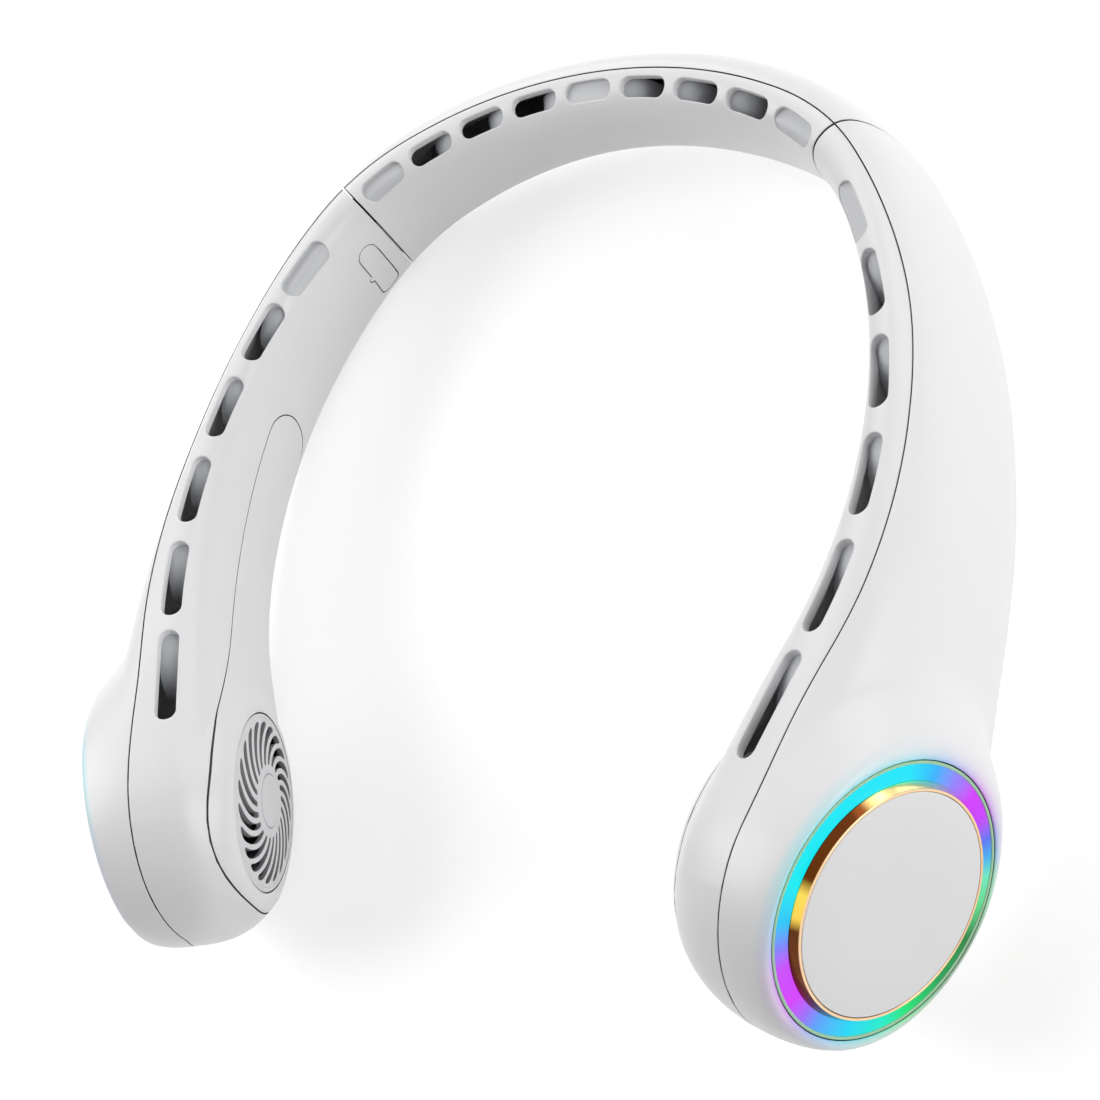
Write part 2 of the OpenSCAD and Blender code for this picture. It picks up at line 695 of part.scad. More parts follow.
module arm_core_left() {
    color("white")
        other_side()
            rest()
                difference() {
                    union() {
                        arm_core_body();
                        station(port_s)
                            translate([-port_width / 2, port_down - port_length / 2,
                                skin_m(port_s, port_down, -1) + wall * 0.9])
                                cube([port_width, port_length, port_pad - wall * 0.4]);
                    }
                    port_plate(seam_gap, wall, port_thickness + seam_gap / 2);
                    station(port_s)
                        translate([-socket_width / 2 - seam_gap, port_down - socket_height / 2 - seam_gap,
                            skin_m(port_s, port_down, -1) - wall])
                            cube([socket_width + seam_gap * 2, socket_height + seam_gap * 2, wall * 4]);
                }
}
module arm_cover_body() {
    difference() {
        union() {
            shell(arm_stations(), cover_steps, seam_gap, true, true);
            lamp()
                ring(cup_radius, bezel_radius / 2, -lamp_depth - plate_thickness, seam_gap - wall / 2);
        }
        lamp()
            translate([0, 0, -lamp_depth])
                cylinder(h = lamp_depth * 4, r = bore_radius);
    }
}
module arm_cover_right() {
    color("white")
        rest()
            arm_cover_body();
}
module arm_cover_left() {
    color("white")
        other_side()
            rest()
                difference() {
                    arm_cover_body();
                    station(button_s)
                        translate([0, button_d, button_face - wall * 3])
                            cylinder(h = wall * 5, r = button_radius + pin_clearance * 2);
                }
}
module inner_panel() {
    color("white")
        difference() {
            panel_solid(10, -seam_gap / 2, 0, panel_thickness);
            intake()
                translate([0, 0, -wall * 3])
                    rotate([0, 0, start_turn])
                        cylinder(h = wall * 6, r = grille_radius + seam_gap);
        }
}
function swirl(r, q, lead) = [r * cos(q + lead), r * sin(q + lead)];
function swirl_lead(k) = -34 * pow(k, 1.3);
module swirl_opening() {
    inner = badge_radius * 1.38;
    outer = grille_radius * 0.91;
    list = [for (j = [0:6]) j / 6];
    half = 180 / swirl_count * 0.58;
    polygon(concat(
        [for (k = list) swirl(inner + (outer - inner) * k, -half * (0.62 + 0.38 * k), swirl_lead(k))],
        [for (k = flip(list)) swirl(inner + (outer - inner) * k, half * (0.62 + 0.38 * k), swirl_lead(k))]));
}
function dome_radius() = (pow(grille_radius, 2) + pow(dome_rise, 2)) / (2 * dome_rise);
function dome_arc(r, list) = [for (q = list) [r * sin(q), dome_rise - dome_radius() + r * cos(q)]];
module dome_slab(low, high) {
    r = dome_radius();
    b = asin(grille_radius / r);
    rotate_extrude($fn = 96)
        polygon(concat(dome_arc(r + high, [for (j = [0:8]) b * j / 8]),
            dome_arc(r + low, [for (j = [8:-1:0]) b * j / 8])));
}
module intake_grille() {
    color("gainsboro")
        intake()
            difference() {
                union() {
                    dome_slab(-plate_thickness * 0.8, 0);
                    ring(grille_radius, grille_radius - wall * 0.8, -panel_thickness - seam_gap / 4, 0);
                }
                translate([0, 0, -wall * 2])
                    linear_extrude(height = wall * 4)
                        for (i = [0:swirl_count - 1])
                            rotate([0, 0, i * 360 / swirl_count])
                                swirl_opening();
                translate([0, 0, dome_rise - plate_thickness / 2])
                    cylinder(h = wall * 2, r = badge_radius + seam_gap);
            }
}
module grille_badge() {
    color("gainsboro")
        intake()
            translate([0, 0, dome_rise - plate_thickness / 2])
                cylinder(h = plate_thickness / 2, r = badge_radius);
}
module fan_wheel() {
    color("gray")
        intake()
            translate([0, 0, -wheel_top - wheel_height])
                difference() {
                    union() {
                        cylinder(h = blade_thickness * 2, r = wheel_radius);
                        cylinder(h = wheel_height * 0.8, r = hub_radius);
                        translate([0, 0, wheel_height - blade_thickness * 1.5])
                            ring(wheel_radius, wheel_radius * 0.84, 0, blade_thickness * 1.5);
                        for (i = [0:blade_count - 1])
                            rotate([0, 0, i * 360 / blade_count])
                                translate([wheel_radius * 0.68, 0, 0])
                                    rotate([0, 0, 28])
                                        cube([wheel_radius * 0.33, blade_thickness, wheel_height]);
                    }
                    ring(wheel_radius * 2, wheel_radius, -wheel_height, wheel_height * 2);
                    translate([0, 0, -wall])
                        cylinder(h = wheel_height * 0.8, r = shaft_radius);
                }
}
module wheel_shaft() {
    color("silver")
        intake()
            translate([0, 0, -plate_top - plate_thickness - motor_height * 0.9])
                cylinder(h = plate_top + plate_thickness + motor_height * 0.9 - wheel_top - wheel_height
                    + wheel_height * 0.8 - wall, r = shaft_radius);
}
module motor() {
    color("silver")
        intake()
            translate([0, 0, -plate_top - plate_thickness - motor_height])
                difference() {
                    union() {
                        cylinder(h = motor_height, r = motor_radius);
                        cylinder(h = motor_height + plate_thickness * 0.8, r = motor_radius * 0.4);
                    }
                    translate([0, 0, motor_height * 0.05])
                        cylinder(h = motor_height * 2, r = shaft_radius + pin_clearance);
                }
}
module motor_bracket() {
    color("whitesmoke")
        intake()
            difference() {
                union() {
                    translate([0, 0, -plate_top - plate_thickness])
                        cylinder(h = plate_thickness, r = grille_radius);
                    translate([0, 0, -plate_top - plate_thickness])
                        boss_places() {
                            cylinder(h = plate_thickness, r = boss_radius * 1.15);
                            translate([-boss_place * 0.3, -boss_radius, 0])
                                cube([boss_place * 0.3, boss_radius * 2, plate_thickness]);
                        }
                    translate([0, 0, -plate_top - slice])
                        rotate([0, 0, -125])
                            rotate_extrude(angle = 250)
                                translate([scroll_radius - plate_thickness / 2, 0])
                                    square([plate_thickness / 2, plate_top - boss_top]);
                }
                translate([0, 0, -plate_top - plate_thickness * 2])
                    cylinder(h = plate_thickness * 4, r = motor_radius * 0.4 + pin_clearance);
                translate([0, 0, -plate_top - plate_thickness * 2])
                    boss_places()
                        cylinder(h = plate_thickness * 4, r = screw_radius + seam_gap);
            }
}
module bracket_screws() {
    color("silver")
        intake()
            translate([0, 0, -plate_top - plate_thickness])
                boss_places() {
                    translate([0, 0, -head_height])
                        cylinder(h = head_height, r = head_radius);
                    cylinder(h = plate_thickness + screw_reach * 0.8, r = screw_radius);
                }
}
module lamp_board() {
    color("darkgreen")
        lamp()
            ring(lamp_radius - rim_wall - seam_gap / 2, bezel_radius + seam_gap / 2,
                -lamp_depth, -lamp_depth + wall / 2);
}
module light_ring() {
    color("cyan")
        lamp()
            ring(lamp_radius - rim_wall - seam_gap / 4, bezel_radius + seam_gap / 4,
                -lamp_depth + wall / 2 + seam_gap / 2, -glow_depth);
}
module clear_rim() {
    color("lightcyan")
        lamp()
            ring(lamp_radius, lamp_radius - rim_wall, -lamp_depth, seam_gap / 2);
}
module gold_bezel() {
    color("goldenrod")
        lamp() {
            ring(bezel_radius, bezel_radius - bezel_wall, -lamp_depth, disc_rise);
            ring(bezel_radius - bezel_wall / 2, shelf_radius, -bezel_wall * 2, -bezel_wall);
        }
}
module end_disc() {
    color("whitesmoke")
        lamp()
            translate([0, 0, -bezel_wall])
                cylinder(h = disc_rise + bezel_wall, r = disc_radius);
}
module air_vanes() {
    color("lightgray") {
        for (i = [0:4])
            vane(arm_slots()[i], arm_slot(i));
        arm_strip(-vane_width / 4, vane_width / 4, vane_floor, vane_floor + vane_thickness, arm_slots()[0]);
        station(pod_s - straight_length)
            translate([-slice, vane_floor, -vane_width / 4])
                cube([arm_slots()[4] - pod_s + straight_length, vane_thickness, vane_width / 2]);
    }
}
module main_board() {
    color("darkgreen")
        other_side()
            rest()
                station(board_s) {
                    translate([-board_length / 2, port_down - board_width / 2, board_m()])
                        cube([board_length, board_width, board_thickness]);
                    translate([-board_length * 0.1, port_down, board_m() - board_thickness])
                        cube([board_width * 0.45, board_width * 0.45, board_thickness * 2.2], center = true);
                    translate([button_s - board_s, button_d, board_m() + board_thickness * 1.2])
                        cube([button_radius * 1.2, button_radius * 1.2, board_thickness], center = true);
                }
}
function board_m() = skin_m(port_s, port_down, -1) + socket_in + socket_depth
    - pow(board_s - port_s, 2) / (2 * arm_radius);
module usb_socket() {
    color("silver")
        other_side()
            rest()
                station(port_s)
                    translate([-socket_width / 2, port_down - socket_height / 2,
                        skin_m(port_s, port_down, -1) + socket_in])
                        difference() {
                            cube([socket_width, socket_height, socket_depth - seam_gap]);
                            translate([socket_width * 0.12, socket_width * 0.12, -wall])
                                cube([socket_width * 0.76, socket_height - socket_width * 0.24,
                                    socket_depth]);
                        }
}
module port_cover() {
    color("white")
        other_side()
            rest()
                port_plate(0, 0, port_thickness);
}
module power_button() {
    color("white")
        other_side()
            rest()
                station(button_s)
                    translate([0, button_d, button_face])
                        union() {
                            translate([0, 0, -wall * 1.45])
                                cylinder(h = wall * 1.45 + button_rise, r = button_radius);
                            translate([0, 0, -wall * 1.25 - flange_height])
                                cylinder(h = flange_height, r = button_radius * 1.25);
                        }
}

neck_core();
neck_cover();
battery_cells();
battery_tray();
air_vanes_neck();
rest() joint_sleeve();  // joint_sleeve_right
other_side() rest() joint_sleeve();  // joint_sleeve_left
rest() hinge_pin();  // hinge_pin_right
other_side() rest() hinge_pin();  // hinge_pin_left
arm_core_right();
arm_cover_right();
rest() inner_panel();  // inner_panel_right
rest() intake_grille();  // intake_grille_right
rest() grille_badge();  // grille_badge_right
rest() fan_wheel();  // fan_wheel_right
rest() wheel_shaft();  // wheel_shaft_right
rest() motor();  // motor_right
rest() motor_bracket();  // motor_bracket_right
rest() lamp_board();  // lamp_board_right
rest() light_ring();  // light_ring_right
rest() clear_rim();  // clear_rim_right
rest() gold_bezel();  // gold_bezel_right
rest() end_disc();  // end_disc_right
rest() air_vanes();  // air_vanes_right
rest() bracket_screws();  // bracket_screws_right
arm_core_left();
arm_cover_left();
other_side() rest() inner_panel();  // inner_panel_left
other_side() rest() intake_grille();  // intake_grille_left
other_side() rest() grille_badge();  // grille_badge_left
other_side() rest() fan_wheel();  // fan_wheel_left
other_side() rest() wheel_shaft();  // wheel_shaft_left
other_side() rest() motor();  // motor_left
other_side() rest() motor_bracket();  // motor_bracket_left
other_side() rest() lamp_board();  // lamp_board_left
other_side() rest() light_ring();  // light_ring_left
other_side() rest() clear_rim();  // clear_rim_left
other_side() rest() gold_bezel();  // gold_bezel_left
other_side() rest() end_disc();  // end_disc_left
other_side() rest() air_vanes();  // air_vanes_left
other_side() rest() bracket_screws();  // bracket_screws_left
main_board();
usb_socket();
port_cover();
power_button();
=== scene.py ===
"""Electric neck fan: smooth casings, rings and grilles with their finishes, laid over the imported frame.

Every point of the body is given by s, the length along the row of air slots from the nape, by m, the distance
outward from the leaning sheet that stands on that row, and by d, the distance down that sheet.
"""
import math

import bmesh
import bpy
import numpy as np
from bpy.props import FloatProperty, PointerProperty
from mathutils import Matrix, Vector


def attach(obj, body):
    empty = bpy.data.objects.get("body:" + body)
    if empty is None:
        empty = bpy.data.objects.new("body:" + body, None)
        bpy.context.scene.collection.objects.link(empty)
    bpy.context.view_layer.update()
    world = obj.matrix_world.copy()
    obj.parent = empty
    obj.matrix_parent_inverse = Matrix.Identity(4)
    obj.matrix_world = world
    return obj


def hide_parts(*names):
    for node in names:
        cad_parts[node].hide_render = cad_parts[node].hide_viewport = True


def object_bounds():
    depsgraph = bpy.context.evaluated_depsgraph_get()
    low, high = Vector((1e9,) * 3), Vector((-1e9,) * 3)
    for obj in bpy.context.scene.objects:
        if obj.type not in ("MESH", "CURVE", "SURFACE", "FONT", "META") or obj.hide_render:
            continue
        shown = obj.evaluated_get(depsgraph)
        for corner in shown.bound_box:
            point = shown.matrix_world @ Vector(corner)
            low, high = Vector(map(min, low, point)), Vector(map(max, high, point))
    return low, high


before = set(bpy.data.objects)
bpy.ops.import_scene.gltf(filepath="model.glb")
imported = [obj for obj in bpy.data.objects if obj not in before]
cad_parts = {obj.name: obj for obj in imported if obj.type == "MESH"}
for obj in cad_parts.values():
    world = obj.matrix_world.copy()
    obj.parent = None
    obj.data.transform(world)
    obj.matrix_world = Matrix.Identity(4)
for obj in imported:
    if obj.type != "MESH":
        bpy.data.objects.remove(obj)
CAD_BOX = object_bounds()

bl_info = {
    "name": "Electric neck fan",
    "version": (1, 0, 0),
    "blender": (4, 5, 0),
    "location": "3D View > Sidebar > Neck fan",
    "description": "Builds the casings, lit rings and grilles of a neck fan over its packed frame",
    "category": "Object",
}

# Rail of the air slots, in millimetres: radius and angle of each arc, then the straight end.
NAPE = 54.7
ARCS = ((90.0, 30.5), (51.0, 28.0), (128.0, 49.5))
POD_S = sum(r * math.radians(a) for r, a in ARCS) + 34.4
# Place of the arm joint along the rail and its gap, the seam between casings and their wall.
JOINT, GAP, SEAM, WALL = 65.5, 0.5, 0.25, 2.0
# Length of the pod ahead of its middle, the lean of the sheet, and how the fan rests: its turn and its place.
REACH, LEAN, REST = 30.01, math.radians(17), math.radians(7)
REST_PLACE = (41.1, 40.2)
# Section of the body at eight stations between the nape and the middle of the fan pod: shares of the pod's half
# thickness and half height, and the power of the superellipse.
HALF_T, HALF_H = 18.5, 30.5
STATIONS = np.array([0, 0.19, 0.33, 0.485, 0.634, 0.782, 0.896, 1])
THICK = np.array([0.49, 0.48, 0.415, 0.395, 0.465, 0.62, 0.81, 0.997])
HIGH = np.array([0.477, 0.545, 0.6455, 0.70, 0.745, 0.818, 0.9543, 0.992])
OFFSET = np.array([0.0978, 0.13, 0.145, 0.07, 0.02, 0.05, 0.13, 0.25])
RISE = np.array([0.03, 0.026, 0.025, 0.033, 0.05, 0.085, 0.125, 0.1371])
SEAM_AT = np.array([0.25, 0.27, 0.41, 0.62, 0.59, 0.46, 0.27, 0.15])
ROUND = np.array([2.4, 2.4, 2.4, 2.4, 2.4, 2.5, 2.65, 2.75])
POD_D = HALF_H * 0.85
# Lit ring: place and tilt of its plane, radii, height of the disc over the plane and depth of the seat under it.
LAMP_OUT, LAMP_TILT, LAMP_R, BEZEL_R, DISC_UP, LAMP_DEEP = 18.88, 7.0, 26.6, 22.1, 1.7, 4.8
SEAT_R, SEAT_WALL, RIM_WALL, BEZEL_WALL = 20.0, 1.5, 0.7, 0.8
BORE_R, CUP_R = LAMP_R + SEAM / 2, LAMP_R + SEAM / 2 + WALL * 0.75
DISC_R, LINE_R, FOOT_R = 21.35, 21.95, 22.85
# Intake: place and tilt of its plane, radius and height of the grille's dome.
INTAKE_IN, INTAKE_TILT, GRILLE_R, DOME = 12.9, 3.8, 20.2, 1.4
# Distances from the pod's middle at which the skin starts to turn to those planes, and from which it lies in them.
BLEND, REAR_BLEND, FLAT = 31.0, 42.0, LAMP_R * 1.018
IN_BLEND, IN_FLAT = GRILLE_R * 1.336, GRILLE_R * 1.035
# Grille: number of openings and the radii between which they lie, radii of its inner ring, of the badge's seat and
# of the badge, radius and width of the groove round the openings, thickness, and radius of the rounded edges.
OPENINGS, OPEN_FROM, OPEN_TO, RING_R, SEAT_EDGE, BADGE_R = 22, 8.28, 18.38, 7.4, 6.25, 6.0
GROOVE_R, GROOVE_W, GRILLE_THICK, GRILLE_LIP = 19.35, 0.14, 1.2, 0.22
# Air slots and closed recesses: width, pitch and length on the band, depth of a recess, how far the vanes curve down
# under the slots, then the place along the row and the length of each.
SLOT_W, PITCH, NECK_SLOT, BLANK_DEEP, VANE_FALL = 4.6, 14.35, 11.9, 1.2, 7.5
NECK_SLOTS = [(i * PITCH, NECK_SLOT) for i in (-3, -2, -1, 1, 2, 3)]
NECK_BLANKS = [(i * PITCH, NECK_SLOT) for i in (-4, 0, 4)]
LAST_SLOT = POD_S - GRILLE_R * 1.165 * 0.42 - 15.9 / 2 - 0.38 * 8
FIRST_SLOT = LAST_SLOT - 20.6 * 4 - 0.38 * 24
ARM_SLOTS = [(FIRST_SLOT + 20.6 * i + 0.57 * i * i, 15.9 + 0.38 * i * i) for i in range(5)]
ARM_BLANKS = [(JOINT + (FIRST_SLOT - 7.95 - JOINT) * 0.655, (FIRST_SLOT - 7.95 - JOINT) * 0.484)]
# Panel around the intake: its reach past the pod's middle, the start of its tail and the length of that turn, the
# thickness of plates, and the depth and width of the ledge that carries the panel.
PANEL_R, PANEL_S, PANEL_TURN = GRILLE_R * 1.185, POD_S * 0.5375, REACH / 4
PLATE, LEDGE_WIDE = 1.0, 1.5
LEDGE_DEEP = PLATE + SEAM
# Charging port: place, width, length, nail bump and depth of the flap's seat. Power button: place and hole.
PORT_S, PORT_D, PORT_W, PORT_L = 72.7, 20.7, 5.8, 23.0
PORT_BUMP, PORT_SEAT = PORT_W * 0.17, PLATE + SEAM / 2
BUTTON_S, BUTTON_R = 98.0, 3.5
# Rounded edges: radius at seams and joints, at slots, at the cup of the lit ring, at the button's hole and at fine
# seams, then the width of the flat strip beside those of seams, slots and fine seams.
EDGE, SLOT_LIP, CUP_LIP, HOLE_LIP, FINE_LIP = 0.16, 0.3, 0.25, 0.15, 0.12
GUARD, SLOT_GUARD, FINE_GUARD = 0.14, 0.25, 0.2
# How far the flap lies under the skin.
FLAP_DROP = 0.07
SIDES = (("right", 1.0), ("left", -1.0))


def ease(x):
    """Smooth step: three times the square less twice the cube of x held between 0 and 1."""
    x = np.clip(x, 0, 1)
    return x * x * (3 - 2 * x)


def along(table, s):
    """Value at s of the smooth cubic through the table, whose slope at a station is that between its neighbours."""
    t = np.clip(np.abs(s) / POD_S, 0, 1)
    slope = np.zeros(len(table))
    slope[1:-1] = (table[2:] - table[:-2]) / (STATIONS[2:] - STATIONS[:-2])
    i = np.clip(np.searchsorted(STATIONS, t, side="right") - 1, 0, len(table) - 2)
    h = STATIONS[i + 1] - STATIONS[i]
    q = (t - STATIONS[i]) / h
    return ((2 * q ** 3 - 3 * q ** 2 + 1) * table[i] + (q ** 3 - 2 * q ** 2 + q) * h * slope[i]
            + (3 * q ** 2 - 2 * q ** 3) * table[i + 1] + (q ** 3 - q ** 2) * h * slope[i + 1])


def half_t(s):
    """Half the thickness of the section."""
    return HALF_T * along(THICK, s)


def half_h(s):
    """Half the height of the section."""
    return HALF_H * along(HIGH, s)


def mid_m(s):
    """Distance outward of the section's middle."""
    return HALF_T * along(OFFSET, s)


def mid_d(s):
    """Depth of the section's middle: half its height less the rise of its top over the rail."""
    return half_h(s) - HALF_H * along(RISE, s)


def ahead(s):
    """Share of the way from the pod's middle to its front tip."""
    return np.clip((np.abs(s) - POD_S) / REACH, 0, 1)


def fall_t(s):
    """Share of the thickness that is left ahead of the pod's middle: a superellipse of power 3.8 and 2."""
    return np.sqrt(1 - ahead(s) ** 3.8)


def fall_h(s):
    """Share of the height that is left there: a circle."""
    return np.sqrt(1 - ahead(s) ** 2)


def place(s, m, d, side=1.0):
    """Point in metres: walk the three arcs and the straight end, step outward by m and d on the leaning sheet,
    then lay the whole fan back by the resting angle. The left side is the mirror image."""
    s, m, d = np.broadcast_arrays(np.asarray(s, float), m, d)
    a = np.abs(s)
    x, y, h = np.zeros_like(a), np.full_like(a, NAPE), np.full_like(a, math.pi / 2)
    for r, angle in ARCS:
        w = np.clip(a / r, 0, math.radians(angle))
        a = a - w * r
        x, y, h = x + r * (np.cos(h - w) - np.cos(h)), y + r * (np.sin(h - w) - np.sin(h)), h - w
    x, y = x + a * np.sin(h), y - a * np.cos(h)
    u = m * math.cos(LEAN) + d * math.sin(LEAN)
    x, y, z = x + np.cos(h) * u, y + np.sin(h) * u, m * math.sin(LEAN) - d * math.cos(LEAN)
    return np.stack([np.where(s < 0, -x, x) * side, y * math.cos(REST) + z * math.sin(REST) + REST_PLACE[0],
                     z * math.cos(REST) - y * math.sin(REST) + REST_PLACE[1]], -1) / 1000


def settled(s, d, c, m, w):
    """Distance m drawn onto the plane of the lit ring on the outer side, and of the intake on the inner side."""
    a = np.abs(s)
    off = np.hypot(a - POD_S, d - POD_D)
    reach = BLEND + (REAR_BLEND - BLEND) * np.clip((POD_S - a) / np.maximum(off, 0.04), 0, None) ** 2
    out = ease((reach - off) / (reach - FLAT)) * ease((c - 0.15) / 0.5)
    into = ease((IN_BLEND - off) / (IN_BLEND - IN_FLAT)) * ease((-c - 0.15) / 0.5)
    lamp = LAMP_OUT - w - (a - POD_S) * math.tan(math.radians(LAMP_TILT))
    intake = w - INTAKE_IN + (a - POD_S) * math.tan(math.radians(INTAKE_TILT))
    return m + (lamp - m) * out + (intake - m) * into


def swell(c, n):
    """Coordinate on a superellipse of power n, from the sine or cosine of its angle."""
    return np.sign(c) * np.abs(c) ** (2 / n)


def skin(s, q, w, shift=0.0, side=1.0):
    """Point of the casing at the length s and the angle q of a superellipse, w under the skin. Ahead of the pod's
    middle the section shrinks to the front tip."""
    s, q, w = np.broadcast_arrays(np.asarray(s, float), q, w)
    n = along(ROUND, s)
    c, e = swell(np.cos(q), n), swell(np.sin(q), n)
    m = mid_m(s) + (half_t(s) - w) * fall_t(s) * c
    d = mid_d(s) + (half_h(s) - w) * fall_h(s) * e
    a = np.abs(s)
    inset = np.where(s < 0, -1, 1) * (np.minimum(a, POD_S) + np.maximum(0, a - POD_S) * (1 - w / REACH))
    return place(inset, settled(inset, d, c, m, w) + shift, d, side)


def skin_m(s, d, k):
    """Distance outward of the skin at the depth d, on the outer side for k = 1 and on the inner one for k = -1."""
    e = np.minimum(1, np.abs(d - mid_d(s)) / np.maximum(0.04, half_h(s) * fall_h(s)))
    n = along(ROUND, s)
    c = np.maximum(0, 1 - e ** n) ** (1 / n)
    return settled(s, d, k * c, mid_m(s) + k * half_t(s) * fall_t(s) * c, 0)


def angle_at(p, w, kind):
    """Angle of the superellipse at the points p of (s, across): across is the distance m on the top, and the depth
    d on the outer and inner sides."""
    s, y = p[..., 0], p[..., 1]
    half = along(ROUND, s) / 2
    if kind == "top":
        c = np.clip((y - mid_m(s)) / ((half_t(s) - w) * np.maximum(fall_t(s), 1e-6)), -0.985, 0.985)
        return 2 * math.pi - np.arccos(np.sign(c) * np.abs(c) ** half)
    e = np.clip((y - mid_d(s)) / ((half_h(s) - w) * np.maximum(fall_h(s), 1e-6)), -0.985, 0.985)
    q = np.arcsin(np.sign(e) * np.abs(e) ** half)
    return q if kind == "outer" else math.pi - q


def seam_angle(s, w):
    """Angle at which the core and the cover meet: the seam stays at one distance from the middle of the section."""
    part = np.minimum(0.95, half_t(s) * along(SEAM_AT, s) / (half_t(s) - w))
    return np.arccos(part ** (along(ROUND, s) / 2))


def top_drop(s, m):
    """Depth of the top skin at the distance m."""
    n = along(ROUND, s)
    c = np.clip((m - mid_m(s)) / half_t(s), -0.999, 0.999)
    return mid_d(s) - half_h(s) * (1 - np.abs(c) ** n) ** (1 / n)


def sunk(p, drop, kind, side, shift=0.0):
    """Points of the skin at p, (s, across), sunk by drop: straight down the sheet on the top, else across it."""
    s, y = p[..., 0], p[..., 1]
    if kind == "top":
        return place(s, y + shift, top_drop(s, y) + drop, side)
    k = 1 if kind == "outer" else -1
    return place(s, skin_m(s, y, k) - k * drop + shift, y, side)


def lamp_point(r, q, z, side=1.0):
    """Point around the axis of the lit ring: radius r, angle q, height z above the ring's plane."""
    t = math.radians(LAMP_TILT)
    r, q, z = np.broadcast_arrays(np.asarray(r, float), q, z)
    x, y = r * np.cos(q), r * np.sin(q)
    s, m = POD_S + x * math.cos(t) + z * math.sin(t), LAMP_OUT - x * math.sin(t) + z * math.cos(t)
    return place(s, m, POD_D + y, side)


def intake_point(r, q, z, side=1.0):
    """Point around the axis of the intake: radius r, angle q, height z out of the intake's plane."""
    t = math.radians(INTAKE_TILT)
    r, q, z = np.broadcast_arrays(np.asarray(r, float), q, z)
    x, y = r * np.cos(q), r * np.sin(q)
    s, m = POD_S + x * math.cos(t) - z * math.sin(t), -INTAKE_IN + x * math.sin(t) - z * math.cos(t)
    return place(s, m, POD_D + y, side)


def lip(radius, guard=SLOT_GUARD, n=3):
    """Rows of a rounded edge as pairs of distance from the outline and depth: a flat guard, then a quarter circle."""
    a = np.linspace(0, math.pi / 2, n + 1)
    return [(radius + guard, 0.0)] + list(zip(radius * (1 - np.sin(a)), radius * (1 - np.cos(a))))


def grown(loop, by):
    """Closed outline moved outward by a distance along its normals, which turn the tangent by a right angle."""
    t = np.roll(loop, -1, 0) - np.roll(loop, 1, 0)
    t /= np.maximum(np.linalg.norm(t, axis=1, keepdims=True), 1e-9)
    n = np.roll(loop, -1, 0)
    turn = np.sign((loop[:, 0] * n[:, 1] - loop[:, 1] * n[:, 0]).sum())
    return loop + by * turn * np.stack([t[:, 1], -t[:, 0]], 1)


class Opening:
    """Hole in a skin, cut as a slit between columns of its grid: two edges over the columns from first to last,
    each a row of points (s, across), which meet at both ends."""

    def __init__(self, first, near, far, kind):
        self.first, self.count, self.kind = first, len(near), kind
        self.span = slice(first, first + len(near))
        self.loop = np.concatenate([near, far[-2:0:-1]])

    def edges(self, by):
        """Both edges of the outline grown by a distance."""
        g = grown(self.loop, by)
        k = self.count
        return g[:k], np.concatenate([g[:1], g[:k - 1:-1], g[k - 1:k]])


def cut(columns, lo, hi, near, far, kind):
    """Opening between lo and hi whose edges are functions of s. The nearest columns give it its ends."""
    i, j = np.abs(columns - lo).argmin(), np.abs(columns - hi).argmin()
    s = columns[i:j + 1].copy()
    s[0], s[-1] = lo, hi
    a, b = near(s), far(s)
    b[0], b[-1] = a[0], a[-1]
    return Opening(i, np.stack([s, a], 1), np.stack([s, b], 1), kind)


def pill_columns(at, length):
    """Columns that follow the two round ends of a slot and cross its straight part."""
    a = SLOT_W / 2 * (1 - np.cos(np.radians([0, 22, 40, 57, 73, 90])))
    lo, hi = at - length / 2, at + length / 2
    return np.concatenate([[lo - 0.7], lo + a, np.linspace(lo, hi, 9)[2:-2], hi - a, [hi + 0.7]])


def pill(columns, at, length):
    """Round-ended slot along the row: half its width is the radius, less the fall of the end circles."""
    r = SLOT_W / 2

    def half(s):
        over = np.maximum(0, np.abs(s - at) - (length / 2 - r))
        return np.sqrt(np.maximum(0, r * r - over * over))
    return cut(columns, at - length / 2, at + length / 2, lambda s: -half(s), half, "top")


def round_hole(columns, at, depth, r, kind, squeeze=1.0):
    """Round opening on a side of the body, with edges half a chord above and below its middle."""
    def half(s):
        return np.sqrt(np.maximum(0, r * r - ((s - at) / squeeze) ** 2))
    k = 1 if kind == "outer" else -1
    return cut(columns, at - r * squeeze, at + r * squeeze,
               lambda s: depth - k * half(s), lambda s: depth + k * half(s), kind)


def tail(s):
    """Upper and lower edge of the panel's tail: shares of the half height that grow towards the pod, slowly at
    first."""
    t = ease(np.clip((s - PANEL_S) / (POD_S - PANEL_S), 0, 1) ** 2)
    return mid_d(s) - half_h(s) * (0.39 + 0.45 * t), mid_d(s) + half_h(s) * (0.69 + 0.10 * t)


def panel_edge(s, k):
    """Edge of the panel, the upper one for k = -1: the tail, which starts with a quarter of an ellipse, and past the
    pod's middle a quarter of a superellipse of power 2.5 round the intake."""
    which = (k + 1) // 2
    mid = mid_d(s) + half_h(s) * 0.08
    start = np.sqrt(1 - np.clip((PANEL_S + PANEL_TURN - s) / PANEL_TURN, 0, 1) ** 2)
    end = (1 - np.clip((s - POD_S) / PANEL_R, 0, 1) ** 2.5) ** 0.4
    return np.where(s > POD_S, POD_D + (tail(POD_S)[which] - POD_D) * end, mid + (tail(s)[which] - mid) * start)


def panel_columns():
    """Columns that follow the start of the panel's tail and its end ahead of the pod's middle."""
    return np.concatenate([PANEL_S + PANEL_TURN * (1 - np.cos(np.radians([0, 12, 25, 40, 55, 72, 90]))),
                           POD_S + PANEL_R * np.sin(np.radians([-34, -30, -26, 0, 15, 30, 42, 54, 64, 73, 80, 85,
                                                                90]))])


